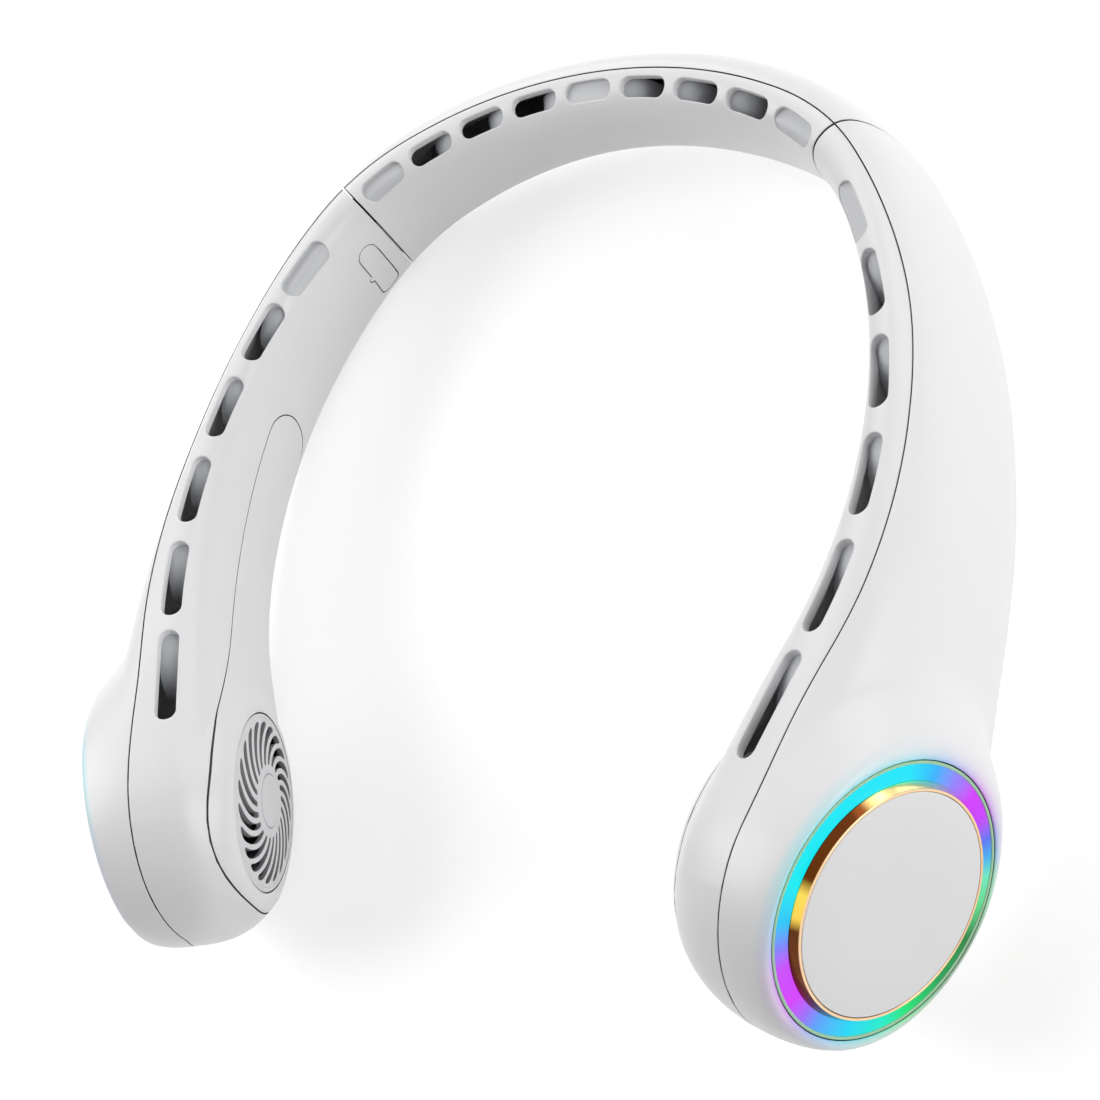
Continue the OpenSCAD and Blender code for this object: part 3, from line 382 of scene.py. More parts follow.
def slit(s, kind):
    """Depth of the line along which a side may be slit: through the middle of whatever is cut from it."""
    if kind == "outer":
        return mid_d(s) * (1 - 0.18 * np.exp(-((np.abs(s) - BUTTON_S) / 8) ** 2))
    up, low = tail(s)
    return (up + low) / 2 + (POD_D - (up + low) / 2) * ease((s - POD_S + 40) / 15)


def upright(columns, w, l, r, n, bump):
    """Upright outline of half width w around the charging port, whose straight sides reach l above and below the
    middle and whose ends rise by r as a superellipse of power n. Both edges start in the middle of one long side,
    follow it, turn the end and come back along the other side, where a nail bump may stand out."""
    a, c = np.radians(np.linspace(180, 0, 12)), np.radians(np.linspace(90, 0, 5))
    step = PORT_BUMP
    rise = np.concatenate([step * np.sin(c[::-1]), [step * 1.3, l / 3, l * 2 / 3]])
    half = np.concatenate([np.stack([rise * 0 - w, rise], 1),
                           np.stack([w * swell(np.cos(a), n), l + r * swell(np.sin(a), n)], 1),
                           np.stack([rise[:4:-1] * 0 + w, rise[:4:-1]], 1),
                           np.stack([w + bump * np.cos(c), step * np.sin(c)], 1)])
    i = np.abs(columns - (PORT_S - PORT_W / 2)).argmin()
    return Opening(i, half + [PORT_S, PORT_D], half * [1, -1] + [PORT_S, PORT_D], "inner")


def port_columns():
    """Columns across the charging port and its nail bump."""
    return np.concatenate([[PORT_S - PORT_W / 2 - 1], np.linspace(PORT_S - PORT_W / 2, PORT_S + PORT_W * 0.67, 28),
                           [PORT_S + PORT_W * 0.67 + 0.8]])


def between(a, b, n):
    """Grid of n cells that leads straight from one row of points to another."""
    t = np.linspace(0, 1, n + 1)[None, :, None]
    return a[:, None] * (1 - t) + b[:, None] * t


class Work:
    """Grids of points gathered into one welded, closed mesh."""

    def __init__(self):
        self.points, self.faces, self.dark, self.count = [], [], [], 0

    def grid(self, p, wrap=False, dark=None, tone=1):
        """Adds the quads of a grid of points (rows, columns, 3), closed along its columns where wrap is set. Quads from
        the row dark on take another material of the piece, which is painted shade: that of unlit walls, or 2 for closed
        recesses."""
        p = np.asarray(p)
        if wrap:
            p = np.concatenate([p, p[:, :1]], 1)
        n, m = p.shape[:2]
        i = np.arange(n * m).reshape(n, m) + self.count
        self.points.append(p.reshape(-1, 3))
        self.faces.append(np.stack([i[:-1, :-1], i[1:, :-1], i[1:, 1:], i[:-1, 1:]], -1).reshape(-1, 4))
        self.dark.append(np.repeat(np.arange(n - 1) >= (n if dark is None else dark), m - 1) * tone)
        self.count += n * m

    def made(self, name, sharp=50.0, weld=3e-6):
        """Welds the grids, turns all faces outward and shades them smooth, but for edges past the sharp angle."""
        p, f = np.concatenate(self.points), np.concatenate(self.faces)
        mesh = bpy.data.meshes.new(name)
        mesh.vertices.add(len(p))
        mesh.vertices.foreach_set("co", p.astype(np.float32).ravel())
        mesh.loops.add(f.size)
        mesh.loops.foreach_set("vertex_index", f.ravel().astype(np.int32))
        mesh.polygons.add(len(f))
        mesh.polygons.foreach_set("loop_start", np.arange(0, f.size, 4, dtype=np.int32))
        mesh.update(calc_edges=True)
        mesh.polygons.foreach_set("material_index", np.concatenate(self.dark).astype(np.int32))
        bm = bmesh.new()
        bm.from_mesh(mesh)
        bmesh.ops.remove_doubles(bm, verts=bm.verts, dist=weld)
        bmesh.ops.dissolve_degenerate(bm, edges=bm.edges, dist=weld / 2)
        bmesh.ops.recalc_face_normals(bm, faces=bm.faces)
        bm.to_mesh(mesh)
        open_edges = sum(not e.is_manifold for e in bm.edges)
        bm.free()
        print(name, len(mesh.polygons), "faces", open_edges, "open edges")
        mesh.shade_smooth()
        mesh.set_sharp_from_angle(angle=math.radians(sharp))
        obj = bpy.data.objects.new(name, mesh)
        bpy.context.scene.collection.objects.link(obj)
        return obj


def casing(side, columns, near, cuts, cells, tip):
    """Closed shell between the two seams. Its outer and inner skins are grids over the columns and over the angles
    between a seam, the edges of any slit, and the other seam. Rounded rims join the two skins."""
    shift = SEAM if near else 0.0
    work = Work()
    # The outer skin dips by a quarter circle to a rounded edge at a free end.
    off = np.abs(columns - columns[0])
    if not tip:
        off = np.minimum(off, np.abs(columns - columns[-1]))
    depth = np.where(off < EDGE, EDGE - np.sqrt(np.maximum(0, EDGE ** 2 - (EDGE - np.minimum(off, EDGE)) ** 2)), 0)
    a0 = seam_angle(columns, 0)
    # Millimetres along the skin for one unit of the section's angle.
    pace = np.maximum(np.linalg.norm(skin(columns, a0 + 0.01, 0) - skin(columns, a0, 0), axis=-1) * 1e5, 0.5)

    def seam_rows(grow, w):
        """Angles of the two seams, moved into the skin by a distance."""
        a = seam_angle(columns, w) + (-1 if near else 1) * grow / pace
        return (-a, a) if near else (a, 2 * math.pi - a)

    kinds = ("outer",) if near else ("inner", "top")

    def skins(w):
        """Grids of the outer skin for w = 0, or of the inner one, between the seams and the slits' edges."""
        first, last = seam_rows(EDGE + GUARD if w == 0 else 0.0, w)
        lines = [(columns, first)]
        for kind in kinds:
            rest = np.stack([columns, columns * 0 if kind == "top" else slit(columns, kind)], 1)
            q = angle_at(rest, w, kind)
            low, up = np.stack([columns, q], 1), np.stack([columns, q], 1)
            for outside, out_by, inside, in_by in cuts:
                o, by = (outside, out_by) if w == 0 else (inside, in_by)
                if o is not None and o.kind == kind:
                    e, f = o.edges(by)
                    low[o.span] = np.stack([e[:, 0], angle_at(e, w, kind)], 1)
                    up[o.span] = np.stack([f[:, 0], angle_at(f, w, kind)], 1)
            lines += [(low[:, 0], low[:, 1]), (up[:, 0], up[:, 1])]
        lines.append((columns, last))
        out = []
        for i in range(0, len(lines), 2):
            g = between(np.stack(lines[i], 1), np.stack(lines[i + 1], 1), cells[i // 2])
            out.append(skin(g[..., 0], g[..., 1], depth[:, None] if w == 0 else w, shift, side))
        return out

    outer, inner = skins(0), skins(WALL)
    for g in outer + inner:
        work.grid(g)
    seams = []
    for j in (0, 1):
        strip = [skin(columns, seam_rows(grow, w)[j], np.maximum(w, depth), shift, side)
                 for grow, w in lip(EDGE, GUARD)]
        strip.append(skin(columns, seam_rows(0, WALL)[j], WALL, shift, side))
        seams.append(np.stack(strip))
        # The seam's lower edge and its wall take the painted shade of unlit walls.
        work.grid(seams[j], dark=3)
    for i in ((0,) if tip else (0, -1)):
        a, b = np.concatenate([g[i] for g in outer]), np.concatenate([g[i] for g in inner])
        front = np.concatenate([seams[0][::-1, i], a, seams[1][:, i]])
        back = np.concatenate([np.repeat(b[:1], len(seams[0]), 0), b, np.repeat(b[-1:], len(seams[1]), 0)])
        # The end faces at the joint take the painted shade of unlit walls.
        work.grid([front, back], dark=0)
    return work, shift


def skin_row(o, by, w, side, shift):
    """Row of points around an opening, on the outer skin for w = 0 and on the inner one for the wall."""
    p = grown(o.loop, by)
    return skin(p[:, 0], angle_at(p, w, o.kind), w, shift, side)


def lip_rows(o, radius, by, side, shift, guard=SLOT_GUARD):
    """Rounded edge of an opening whose outline is grown by a distance: from the skin down to the radius."""
    pairs = lip(radius, guard)
    return ([skin_row(o, by + pairs[0][0], 0, side, shift), skin_row(o, by + pairs[1][0], 0, side, shift)]
            + [sunk(grown(o.loop, by + g), w, o.kind, side, shift) for g, w in pairs[2:]])


def slot_rim(work, o, side):
    """Wall of an open slot, straight down from its rounded edge to the inner skin."""
    work.grid(lip_rows(o, SLOT_LIP, 0, side, 0) + [skin_row(o, 0, WALL, side, 0)], wrap=True)


def blank_rim(work, o, side, at):
    """Closed recess: a rounded edge, a short wall and a flat floor, which stays under the skin where that falls."""
    near, far = o.edges(0)
    level = BLANK_DEEP - HALF_H * along(RISE, at)

    def floor(p):
        """Points of the floor at p, (s, m)."""
        s, m = p[..., 0], p[..., 1]
        return place(s, m, np.maximum(level, top_drop(s, m) + SLOT_LIP + 0.05), side)
    # Painted shade: the lower edge, the wall and the floor of the recess take the recess's grey.
    work.grid(lip_rows(o, SLOT_LIP, 0, side, 0) + [floor(o.loop)], wrap=True, dark=3, tone=2)
    work.grid(floor(between(near, far, 6)), dark=0, tone=2)


def joint_columns(arm):
    """Columns over the rounded edge at the joint, on the arm's side of it or on the band's."""
    way = 1 if arm else -1
    e = JOINT + way * GAP / 2
    return np.concatenate([e + way * EDGE * (1 - np.sin(np.radians([90, 60, 30, 0]))), [e + way * EDGE + way * GUARD]])


def core_columns(arm, left):
    """Columns of a core: dense at its rounded ends and around its slots, and even between them."""
    end = joint_columns(arm)
    if not arm:
        return merged(-end, end, np.linspace(-64, 64, 65), *[pill_columns(*p) for p in NECK_SLOTS + NECK_BLANKS])
    front = POD_S + REACH * np.sin(np.radians([0, 8, 16, 24, 32, 40, 47, 54, 60, 65, 70, 75, 79, 83, 86, 88, 90]))
    plain = np.arange(67.2, POD_S - 1, 1.9)
    parts = [pill_columns(*p) for p in ARM_SLOTS + ARM_BLANKS] + [panel_columns()]
    if left:
        plain = plain[(plain < PORT_S - 4.4) | (plain > PORT_S + 5)]
        parts.append(port_columns())
    return merged(end, front, plain, *parts)


def merged(*lists):
    """Sorted places of all lists. A place of the later lists that is near one already taken is left out."""
    kept = np.concatenate(lists[:2])
    for s in lists[3:] + lists[2:3]:
        gap = np.abs(s[:, None] - kept[None]).min(1)
        kept = np.concatenate([kept, s[gap > (0.6 if s is lists[2] else 0.12)]])
    return np.sort(kept)


def slot_cuts(slots, blanks):
    """Cuts of a core: open slots go through both skins, closed recesses through the outer one only."""
    by = SLOT_LIP + SLOT_GUARD
    return [(o, by, o, 0.0) for o in slots] + [(o, by, None, 0.0) for o in blanks]


def neck_core():
    """Inner casing of the band, with its slots and its closed recesses."""
    c = core_columns(False, False)
    slots, blanks = [pill(c, *p) for p in NECK_SLOTS], [pill(c, *p) for p in NECK_BLANKS]
    work, _ = casing(1.0, c, False, slot_cuts(slots, blanks), (18, 22, 7), False)
    for o in slots:
        slot_rim(work, o, 1.0)
    for o, (at, _) in zip(blanks, NECK_BLANKS):
        blank_rim(work, o, 1.0, at)
    return work.made("band_core_shell")


def neck_cover():
    """Outer casing of the band."""
    end = joint_columns(False)
    work, _ = casing(1.0, merged(-end, end, np.linspace(-64, 64, 61)), True, [], (14, 14), False)
    return work.made("band_cover_shell")


def arm_core(name, side):
    """Inner casing of an arm, with its slots, its closed recess, the ledge of the panel and, on the left, the
    charging port: the flap's seat and the mouth of the socket."""
    left = side < 0
    c = core_columns(True, left)
    panel = cut(c, PANEL_S, POD_S + PANEL_R, lambda s: panel_edge(s, 1), lambda s: panel_edge(s, -1), "inner")
    slots, blanks = [pill(c, *p) for p in ARM_SLOTS], [pill(c, *p) for p in ARM_BLANKS]
    cuts = slot_cuts(slots, blanks)
    cuts.append((panel, SEAM / 2 + FINE_LIP + FINE_GUARD, panel, -LEDGE_WIDE))
    if left:
        r = PORT_W / 2
        door = upright(c, r, PORT_L / 2 - r, r, 2, PORT_BUMP)
        socket = upright(c, PORT_W * 0.275 + SEAM, PORT_L * 0.1925 - r / 2, r / 2 + SEAM, 7, 0.0)
        cuts.append((door, SEAM + FINE_LIP + FINE_GUARD, socket, 0.0))
    work, _ = casing(side, c, False, cuts, (16, 30, 7), True)
    for o in slots:
        slot_rim(work, o, side)
    for o in blanks:
        blank_rim(work, o, side, ARM_BLANKS[0][0])
    ledge = [sunk(grown(panel.loop, by), LEDGE_DEEP, "inner", side) for by in (SEAM / 2, -LEDGE_WIDE)]
    # The panel's gap, the ledge and the wall under it take painted shade.
    work.grid(lip_rows(panel, FINE_LIP, SEAM / 2, side, 0, FINE_GUARD) + ledge
              + [skin_row(panel, -LEDGE_WIDE, WALL, side, 0)], wrap=True, dark=3)
    if left:
        rim, base = lip_rows(door, FINE_LIP, SEAM, side, 0, FINE_GUARD), grown(door.loop, SEAM)
        seat = [sunk(base * (1 - t) + socket.loop * t, PORT_SEAT, "inner", side) for t in (0, 0.35, 0.7, 1.0)]
        # The flap's gap takes painted shade.
        work.grid(rim + seat[:1], wrap=True, dark=3)
        # The flap's seat and the socket's mouth take the painted shade of recesses.
        work.grid(seat + [skin_row(socket, 0, WALL, side, 0)], wrap=True, dark=0, tone=2)
    return work.made(name)


def button_depth():
    """Depth of the power button's middle."""
    return float(mid_d(BUTTON_S)) * 0.82


def arm_cover(name, side):
    """Outer casing of an arm, with the cup of the lit ring and, on the left, the hole of the power button."""
    left = side < 0
    tilt = math.cos(math.radians(LAMP_TILT))
    front = POD_S + REACH * np.sin(np.radians([66, 70, 74, 78, 82, 85, 88, 90]))
    plain = np.concatenate([np.arange(67.4, POD_S - 26, 2.0), [POD_S - 27.4]])
    parts = [POD_S + BORE_R * tilt * np.cos(np.radians(np.linspace(180, 0, 45)))]
    if left:
        parts.append(BUTTON_S + BUTTON_R * np.cos(np.radians(np.linspace(180, 0, 17))))
    c = merged(joint_columns(True), front[front > POD_S + BORE_R * tilt + 1.0], plain, *parts)
    lamp = round_hole(c, POD_S, POD_D, BORE_R, "outer", tilt)
    cuts = [(lamp, CUP_LIP + SLOT_GUARD, lamp, CUP_R - BORE_R)]
    if left:
        hole = round_hole(c, BUTTON_S, button_depth(), BUTTON_R, "outer")
        cuts.append((hole, HOLE_LIP + FINE_GUARD, hole, 0.0))
    work, shift = casing(side, c, True, cuts, (22, 22), True)
    q = np.arctan2(lamp.loop[:, 1] - POD_D, (lamp.loop[:, 0] - POD_S) / tilt)
    foot, under = -LAMP_DEEP, -LAMP_DEEP - SEAT_WALL
    cup = ((BORE_R, -1.0), (BORE_R, foot), (SEAT_R, foot), (BEZEL_R / 2, foot),
           (BEZEL_R / 2, under), (SEAT_R, under), (CUP_R, under))
    rim = lip_rows(lamp, CUP_LIP, 0, side, shift) + [lamp_point(r, q, z, side) for r, z in cup]
    # The cup's wall and its seat under the ring take painted shade.
    work.grid(rim + [skin_row(lamp, CUP_R - BORE_R, WALL, side, shift)], wrap=True, dark=4)
    if left:
        rim = lip_rows(hole, HOLE_LIP, 0, side, shift, FINE_GUARD)
        work.grid(rim + [skin_row(hole, 0, WALL, side, shift)], wrap=True)
    return work.made(name)


def panel_plate(name, side):
    """Thin plate around the intake with its tail up the arm: grids from the outline to the grille's hole, on the
    skin and under it, with rounded edges between them."""
    hole_r = GRILLE_R + SEAM

    def chord(s):
        """Half the chord of the hole at s."""
        return np.sqrt(np.maximum(0, hole_r ** 2 - (s - POD_S) ** 2))
    c = merged(panel_columns(), POD_S + hole_r * np.cos(np.radians(np.linspace(180, 0, 37))),
               np.arange(PANEL_S + PANEL_TURN + 2, POD_S - hole_r - 1, 2.2))
    c = c[(c >= PANEL_S) & (c <= POD_S + PANEL_R + 1e-6)]
    outline = cut(c, PANEL_S, POD_S + PANEL_R, lambda s: panel_edge(s, -1), lambda s: panel_edge(s, 1), "inner")
    hole = cut(c, POD_S - hole_r, POD_S + hole_r, lambda s: POD_D - chord(s), lambda s: POD_D + chord(s), "inner")
    work = Work()
    inset = -SEAM / 2
    for drop, grow, widen in ((0.0, inset - FINE_LIP - FINE_GUARD, FINE_LIP + FINE_GUARD), (PLATE, inset, 0.0)):
        up, low = outline.edges(grow)
        line = np.stack([c, slit(c, "inner")], 1)
        line[0], line[-1] = up[0], up[-1]
        a, b = line.copy(), line.copy()
        a[hole.span], b[hole.span] = hole.edges(widen)
        work.grid(sunk(between(up, a, 14), drop, "inner", side))
        work.grid(sunk(between(b, low, 14), drop, "inner", side))
    pairs = lip(FINE_LIP, FINE_GUARD) + [(0, PLATE)]
    # The edges of the plate round its outline and round its hole take painted shade.
    work.grid([sunk(grown(outline.loop, inset - g), w, "inner", side) for g, w in pairs], wrap=True, dark=3)
    work.grid([sunk(grown(hole.loop, g), w, "inner", side) for g, w in pairs], wrap=True, dark=3)
    return work.made(name)


def turned(point, profile, side, n=160, closed=True):
    """Profile of radius and height carried around the axis of the ring or of the intake."""
    work = Work()
    p = np.array(profile + profile[:1] if closed else profile)
    q = np.linspace(0, 2 * math.pi, n, endpoint=False)
    work.grid(point(p[:, :1], q[None], p[:, 1:], side), wrap=True)
    return work


def rounded(corners, radius, n=4):
    """Closed profile whose corners are quarter-like curves: each corner point is replaced by a short blend between
    the two points a radius before and after it."""
    p = np.array(corners, float)
    r = np.broadcast_to(radius, len(p))
    a, b = np.roll(p, 1, 0) - p, np.roll(p, -1, 0) - p
    a /= np.linalg.norm(a, axis=1, keepdims=True)
    b /= np.linalg.norm(b, axis=1, keepdims=True)
    t = np.linspace(0, 1, n + 1)[None, :, None]
    start, end = (p + a * r[:, None])[:, None], (p + b * r[:, None])[:, None]
    curve = start * (1 - t) ** 2 + 2 * p[:, None] * t * (1 - t) + end * t ** 2
    return curve.reshape(-1, 2).tolist()


def bezel_and_rings(side, tag):
    """Gold bezel, plain disc, frosted light ring and clear rim as turned profiles with rounded edges. The bezel's
    wall is a chamfer from the line round the disc down to its foot, so that it mirrors the room."""
    out = {}
    foot, collar = -LAMP_DEEP + 0.02, BEZEL_R * 0.77
    bezel_in = DISC_R + SEAM / 2
    bezel = [(bezel_in, DISC_UP), (LINE_R, DISC_UP), (LINE_R + 0.05, DISC_UP - 0.18), (FOOT_R, -0.1), (FOOT_R, foot),
             (bezel_in, foot), (bezel_in, -BEZEL_WALL * 2), (collar, -BEZEL_WALL * 2), (collar, -BEZEL_WALL),
             (bezel_in, -BEZEL_WALL)]
    out["bezel_" + tag] = rounded(bezel, [0.1, 0.08, 0.05, 0.2, 0.1, 0.1, 0.05, 0.1, 0.1, 0.05]), True
    under = -BEZEL_WALL + 0.02
    out["disc_" + tag] = ([(1e-4, DISC_UP), (DISC_R * 0.5, DISC_UP)] + corner_row(DISC_R, DISC_UP, 0.22)
                          + [(DISC_R, under), (1e-4, under)]), False
    near, far, back = FOOT_R + SEAM / 4, LAMP_R - RIM_WALL - SEAM / 4, -LAMP_DEEP + WALL / 2 + SEAM / 2
    out["glow_" + tag] = rounded([(near, 0.0), (far, 0.0), (far, back), (near, back)], [0.12, 0.12, 0.05, 0.05]), True
    near, far, top = LAMP_R - RIM_WALL, LAMP_R - 0.08, SEAM / 2
    rim = rounded([(near, top), (far, top), (far, foot), (near, foot)], [0.2, 0.2, 0.05, 0.05])
    out["clear_band_" + tag] = rim, True
    return {name: turned(lamp_point, profile, side, 192, closed).made(name, 40)
            for name, (profile, closed) in out.items()}


def corner_row(r, z, by, n=5):
    """Quarter circle from the top face of a turned profile down to its wall."""
    a = np.linspace(0, math.pi / 2, n)
    return list(zip(r - by + by * np.sin(a), z - by + by * np.cos(a)))


def dome_z(r):
    """Height of the grille's dome at the radius r: a sphere with a fine groove round its openings."""
    ball = (GRILLE_R ** 2 + DOME ** 2) / (2 * DOME)
    return DOME - ball + np.sqrt(ball ** 2 - r ** 2) - 0.16 * np.exp(-((r - GROOVE_R) / GROOVE_W) ** 2)


def swirl_lead(r):
    """Angle by which the openings lag behind at the radius r."""
    k = np.clip((r - OPEN_FROM) / (OPEN_TO - OPEN_FROM), 0, 1.2)
    return -np.radians(34 * k ** 1.3)


def swirled(p):
    """Polar places (radius, angle less the lead) of points across the grille."""
    r = np.hypot(p[..., 0], p[..., 1])
    return np.stack([r, np.arctan2(p[..., 1], p[..., 0]) - swirl_lead(r)], -1)


def grille(name, side):
    """Domed grille: a ring of equal sectors, each slit along its middle by one curved opening with round ends, round
    a turned middle with the seat of the badge."""
    r0, r1, step = OPEN_FROM, OPEN_TO, math.pi / OPENINGS
    columns = np.concatenate([[RING_R, RING_R + 0.3], r0 + np.array([0, 0.06, 0.18, 0.4, 0.7]),
                              np.linspace(r0 + 1.2, r1 - 1.7, 12), r1 - np.array([1.2, 0.8, 0.5, 0.25, 0.1, 0]),
                              [18.75, 18.95, 19.1], GROOVE_R + GROOVE_W * np.array([-1.2, -0.6, 0, 0.6, 1.2]),
                              [19.7, 19.85], GRILLE_R - GRILLE_LIP * (1 - np.sin(np.radians([0, 30, 60, 90])))])
    i, j = np.flatnonzero((columns == r0) | (columns == r1))
    r = columns[i:j + 1]
    k = (r - r0) / (r1 - r0)
    half = r * step * 0.65 * (0.70 + 0.30 * k)
    low, high = np.clip((r - r0) / 0.4, 0, 1), np.clip((r1 - r) / 1.1, 0, 1)
    half = half * np.sqrt(1 - (1 - low) ** 2) * np.sqrt(1 - (1 - high) ** 2) / r
    lead = swirl_lead(r)
    edge = [np.stack([r * np.cos(lead + a), r * np.sin(lead + a)], 1) for a in (-half, half)]
    o = Opening(i, edge[0], edge[1], "dome")
    turns = (np.arange(OPENINGS) * 2 * step)[:, None, None]

    def at(rad, ang, z):
        """Points of all sectors for one grid of places."""
        a = ang + swirl_lead(rad) + turns
        return [intake_point(rad, part, z, side) for part in a]

    def rim(by, drop):
        """Radius, angle and height of points round the opening, grown by a distance and sunk by the drop."""
        p = grown(o.loop, by)
        rad, ang = np.hypot(p[:, 0], p[:, 1]), np.arctan2(p[:, 1], p[:, 0])
        return np.stack([rad, ang, dome_z(rad) - drop], 1)
    work = Work()
    into = columns - (GRILLE_R - GRILLE_LIP)
    edge_lip = np.where(into > -0.01, GRILLE_LIP - np.sqrt(np.maximum(0, GRILLE_LIP ** 2 - into ** 2)), 0)
    for top in (True, False):
        a, b = [np.stack([columns, columns * 0], 1) for _ in range(2)]
        near, far = o.edges(GRILLE_LIP + FINE_GUARD if top else 0.0)
        a[o.span], b[o.span] = swirled(near), swirled(far)
        for line, sign in ((a, -1), (b, 1)):
            g = between(line, np.stack([columns, columns * 0 + sign * step], 1), 4)
            z = dome_z(g[..., 0]) - (edge_lip[:, None] if top else GRILLE_THICK)
            for grid in at(g[..., 0], g[..., 1], z):
                work.grid(grid)
    rows = np.stack([rim(g, w) for g, w in lip(GRILLE_LIP, FINE_GUARD)] + [rim(0, GRILLE_THICK)])
    for t in turns[:, 0, 0]:
        # The walls of the openings take painted shade.
        work.grid(intake_point(rows[..., 0], rows[..., 1] + t, rows[..., 2], side), wrap=True, dark=3)
    n = OPENINGS * 8
    q = np.arange(n) * 2 * math.pi / n

    def under(r, drop):
        """Radius and height of a point sunk by the drop under the dome."""
        return r, float(dome_z(r)) - drop
    outer = [under(GRILLE_R, GRILLE_LIP), under(GRILLE_R, GRILLE_THICK)]
    seat = [under(RING_R, 0)] + [under(SEAT_EDGE + x, z) for x, z in ((0.35, 0), (0.15, 0), (0.06, 0.03), (0, 0.15))]
    seat += [(r, 0.65) for r in (SEAT_EDGE, 3.0, 1e-4)]
    for p in (outer, seat, [under(RING_R, GRILLE_THICK), (4.0, 0.15), (1e-4, 0.15)]):
        p = np.array(p)
        lag = swirl_lead(p[:, :1])
        work.grid(intake_point(p[:, :1], q[None] + lag, p[:, 1:], side), wrap=True)
    return work.made(name, 40)


def guide_vanes(name, slots, side):
    """Curved vane under each slot: it leaves the end of the slot nearest the nape and falls away like a quarter of an
    ellipse. A narrow strip along the row carries the vanes."""
    work = Work()

    def plate(s, m, w, thick):
        """Closed plate over a grid of places at the depth w under the top skin."""
        top, low = [place(s + m * 0, m + s * 0, top_drop(s, m) + w + t, side) for t in (0.0, thick)]
        for grid in (top, low, [top[:, 0], low[:, 0]], [top[:, -1], low[:, -1]], [top[0], low[0]], [top[-1], low[-1]]):
            work.grid(grid)
    across = np.linspace(-1, 1, 9)[None] * (SLOT_W / 2 + 0.7)
    turn = np.linspace(0, math.pi / 2, 15)[:, None]
    for at, length in slots:
        way = math.copysign(1.0, at)
        s = at - way * (length / 2 + 0.3) + way * length * 0.6 * np.sin(turn)
        plate(s, across, WALL + 0.02 + VANE_FALL * (1 - np.cos(turn)), 0.6)
    ends = [at + k * length / 2 for at, length in slots for k in (-1, 1)]
    strip = np.linspace(SLOT_W / 2 + 0.5, SLOT_W / 2 + 1.6, 3)[None]
    plate(np.linspace(min(ends), max(ends), 60)[:, None], strip, WALL + 0.02, 0.7)
    return work.made(name)


def badge(name, side):
    """Plain round hub plate with a rounded edge."""
    z = DOME - 0.75 + 0.01
    profile = [(1e-4, DOME), (4.0, DOME)] + corner_row(BADGE_R, DOME, 0.18) + [(BADGE_R, z), (1e-4, z)]
    return turned(intake_point, profile, side, 96, False).made(name, 40)


def port_flap(name):
    """Plate of the charging port: rings from its outline to the middle line, above and below, with a rounded edge
    and a chamfer underneath, by which it turns clear of its seat."""
    r = PORT_W / 2
    straight = PORT_L / 2 - r
    o = upright(np.array([PORT_S - r]), r, straight, r, 2, PORT_BUMP)

    def ring(by, share):
        """Outline grown by a distance and drawn towards the middle line by a share of the way."""
        p = grown(o.loop, by)
        spine = np.stack([p[:, 0] * 0 + PORT_S, np.clip(o.loop[:, 1], PORT_D - straight, PORT_D + straight)], 1)
        return p * (1 - share) + spine * share
    work = Work()
    rows = [sunk(ring(-FINE_LIP - 0.1, t), FLAP_DROP, "inner", -1.0) for t in (1, 0.66, 0.33, 0)]
    chamfer = -0.3
    edge = ((0, FLAP_DROP), (FINE_LIP * 0.5, FLAP_DROP + FINE_LIP * 0.14), (FINE_LIP, FLAP_DROP + FINE_LIP * 0.9),
            (FINE_LIP, PLATE * 0.6), (chamfer, PLATE))
    rows += [sunk(grown(o.loop, g - FINE_LIP), w, "inner", -1.0) for g, w in edge]
    under = [sunk(ring(chamfer - FINE_LIP, t), PLATE, "inner", -1.0) for t in (0.33, 0.66, 1)]
    # The flap's side wall and its chamfer take painted shade.
    work.grid(rows, wrap=True, dark=6)
    work.grid(rows[-1:] + under, wrap=True)
    return work.made(name)


def button(name):
    """Round push button with a soft edge, a shallow dish and the flange that keeps it in."""
    depth = button_depth()
    face = float(skin_m(BUTTON_S, depth, 1))
    q = np.linspace(0, 2 * math.pi, 64, endpoint=False)
    cap, flange, under = BUTTON_R - 0.1, BUTTON_R + 0.75, -3.3
    p = np.array([(1e-4, 0.38), (1.2, 0.39), (2.2, 0.45)] + corner_row(cap, 0.5, 0.35)
                 + [(cap, -2.5), (flange, -2.5), (flange, under), (1e-4, under)])
    work = Work()
    s, d = BUTTON_S + p[:, :1] * np.cos(q), depth + p[:, :1] * np.sin(q)
    work.grid(place(s, face + p[:, 1:] + q * 0, d, -1.0), wrap=True)
    return work.made(name, 40)


def linear(code):
    """Linear colour of an sRGB hex code: a line near black, then a power of 2.4."""
    c = np.array([int(code[i:i + 2], 16) for i in (1, 3, 5)]) / 255
    return (*np.where(c <= 0.04045, c / 12.92, ((c + 0.055) / 1.055) ** 2.4), 1.0)


def add(tree, kind, inputs=(), **settings):
    """Adds a shader node, with its settings and its inputs by name or number: a socket is linked, a value is set."""
    n = tree.nodes.new("ShaderNode" + kind)
    for key, value in settings.items():
        setattr(n, key, value)
    for key, value in dict(inputs).items():
        if isinstance(value, bpy.types.NodeSocket):
            tree.links.new(value, n.inputs[key])
        else:
            n.inputs[key].default_value = value
    return n


def shader_of(mat):
    """Principled node of a material."""
    return next(n for n in mat.node_tree.nodes if n.type == "BSDF_PRINCIPLED")


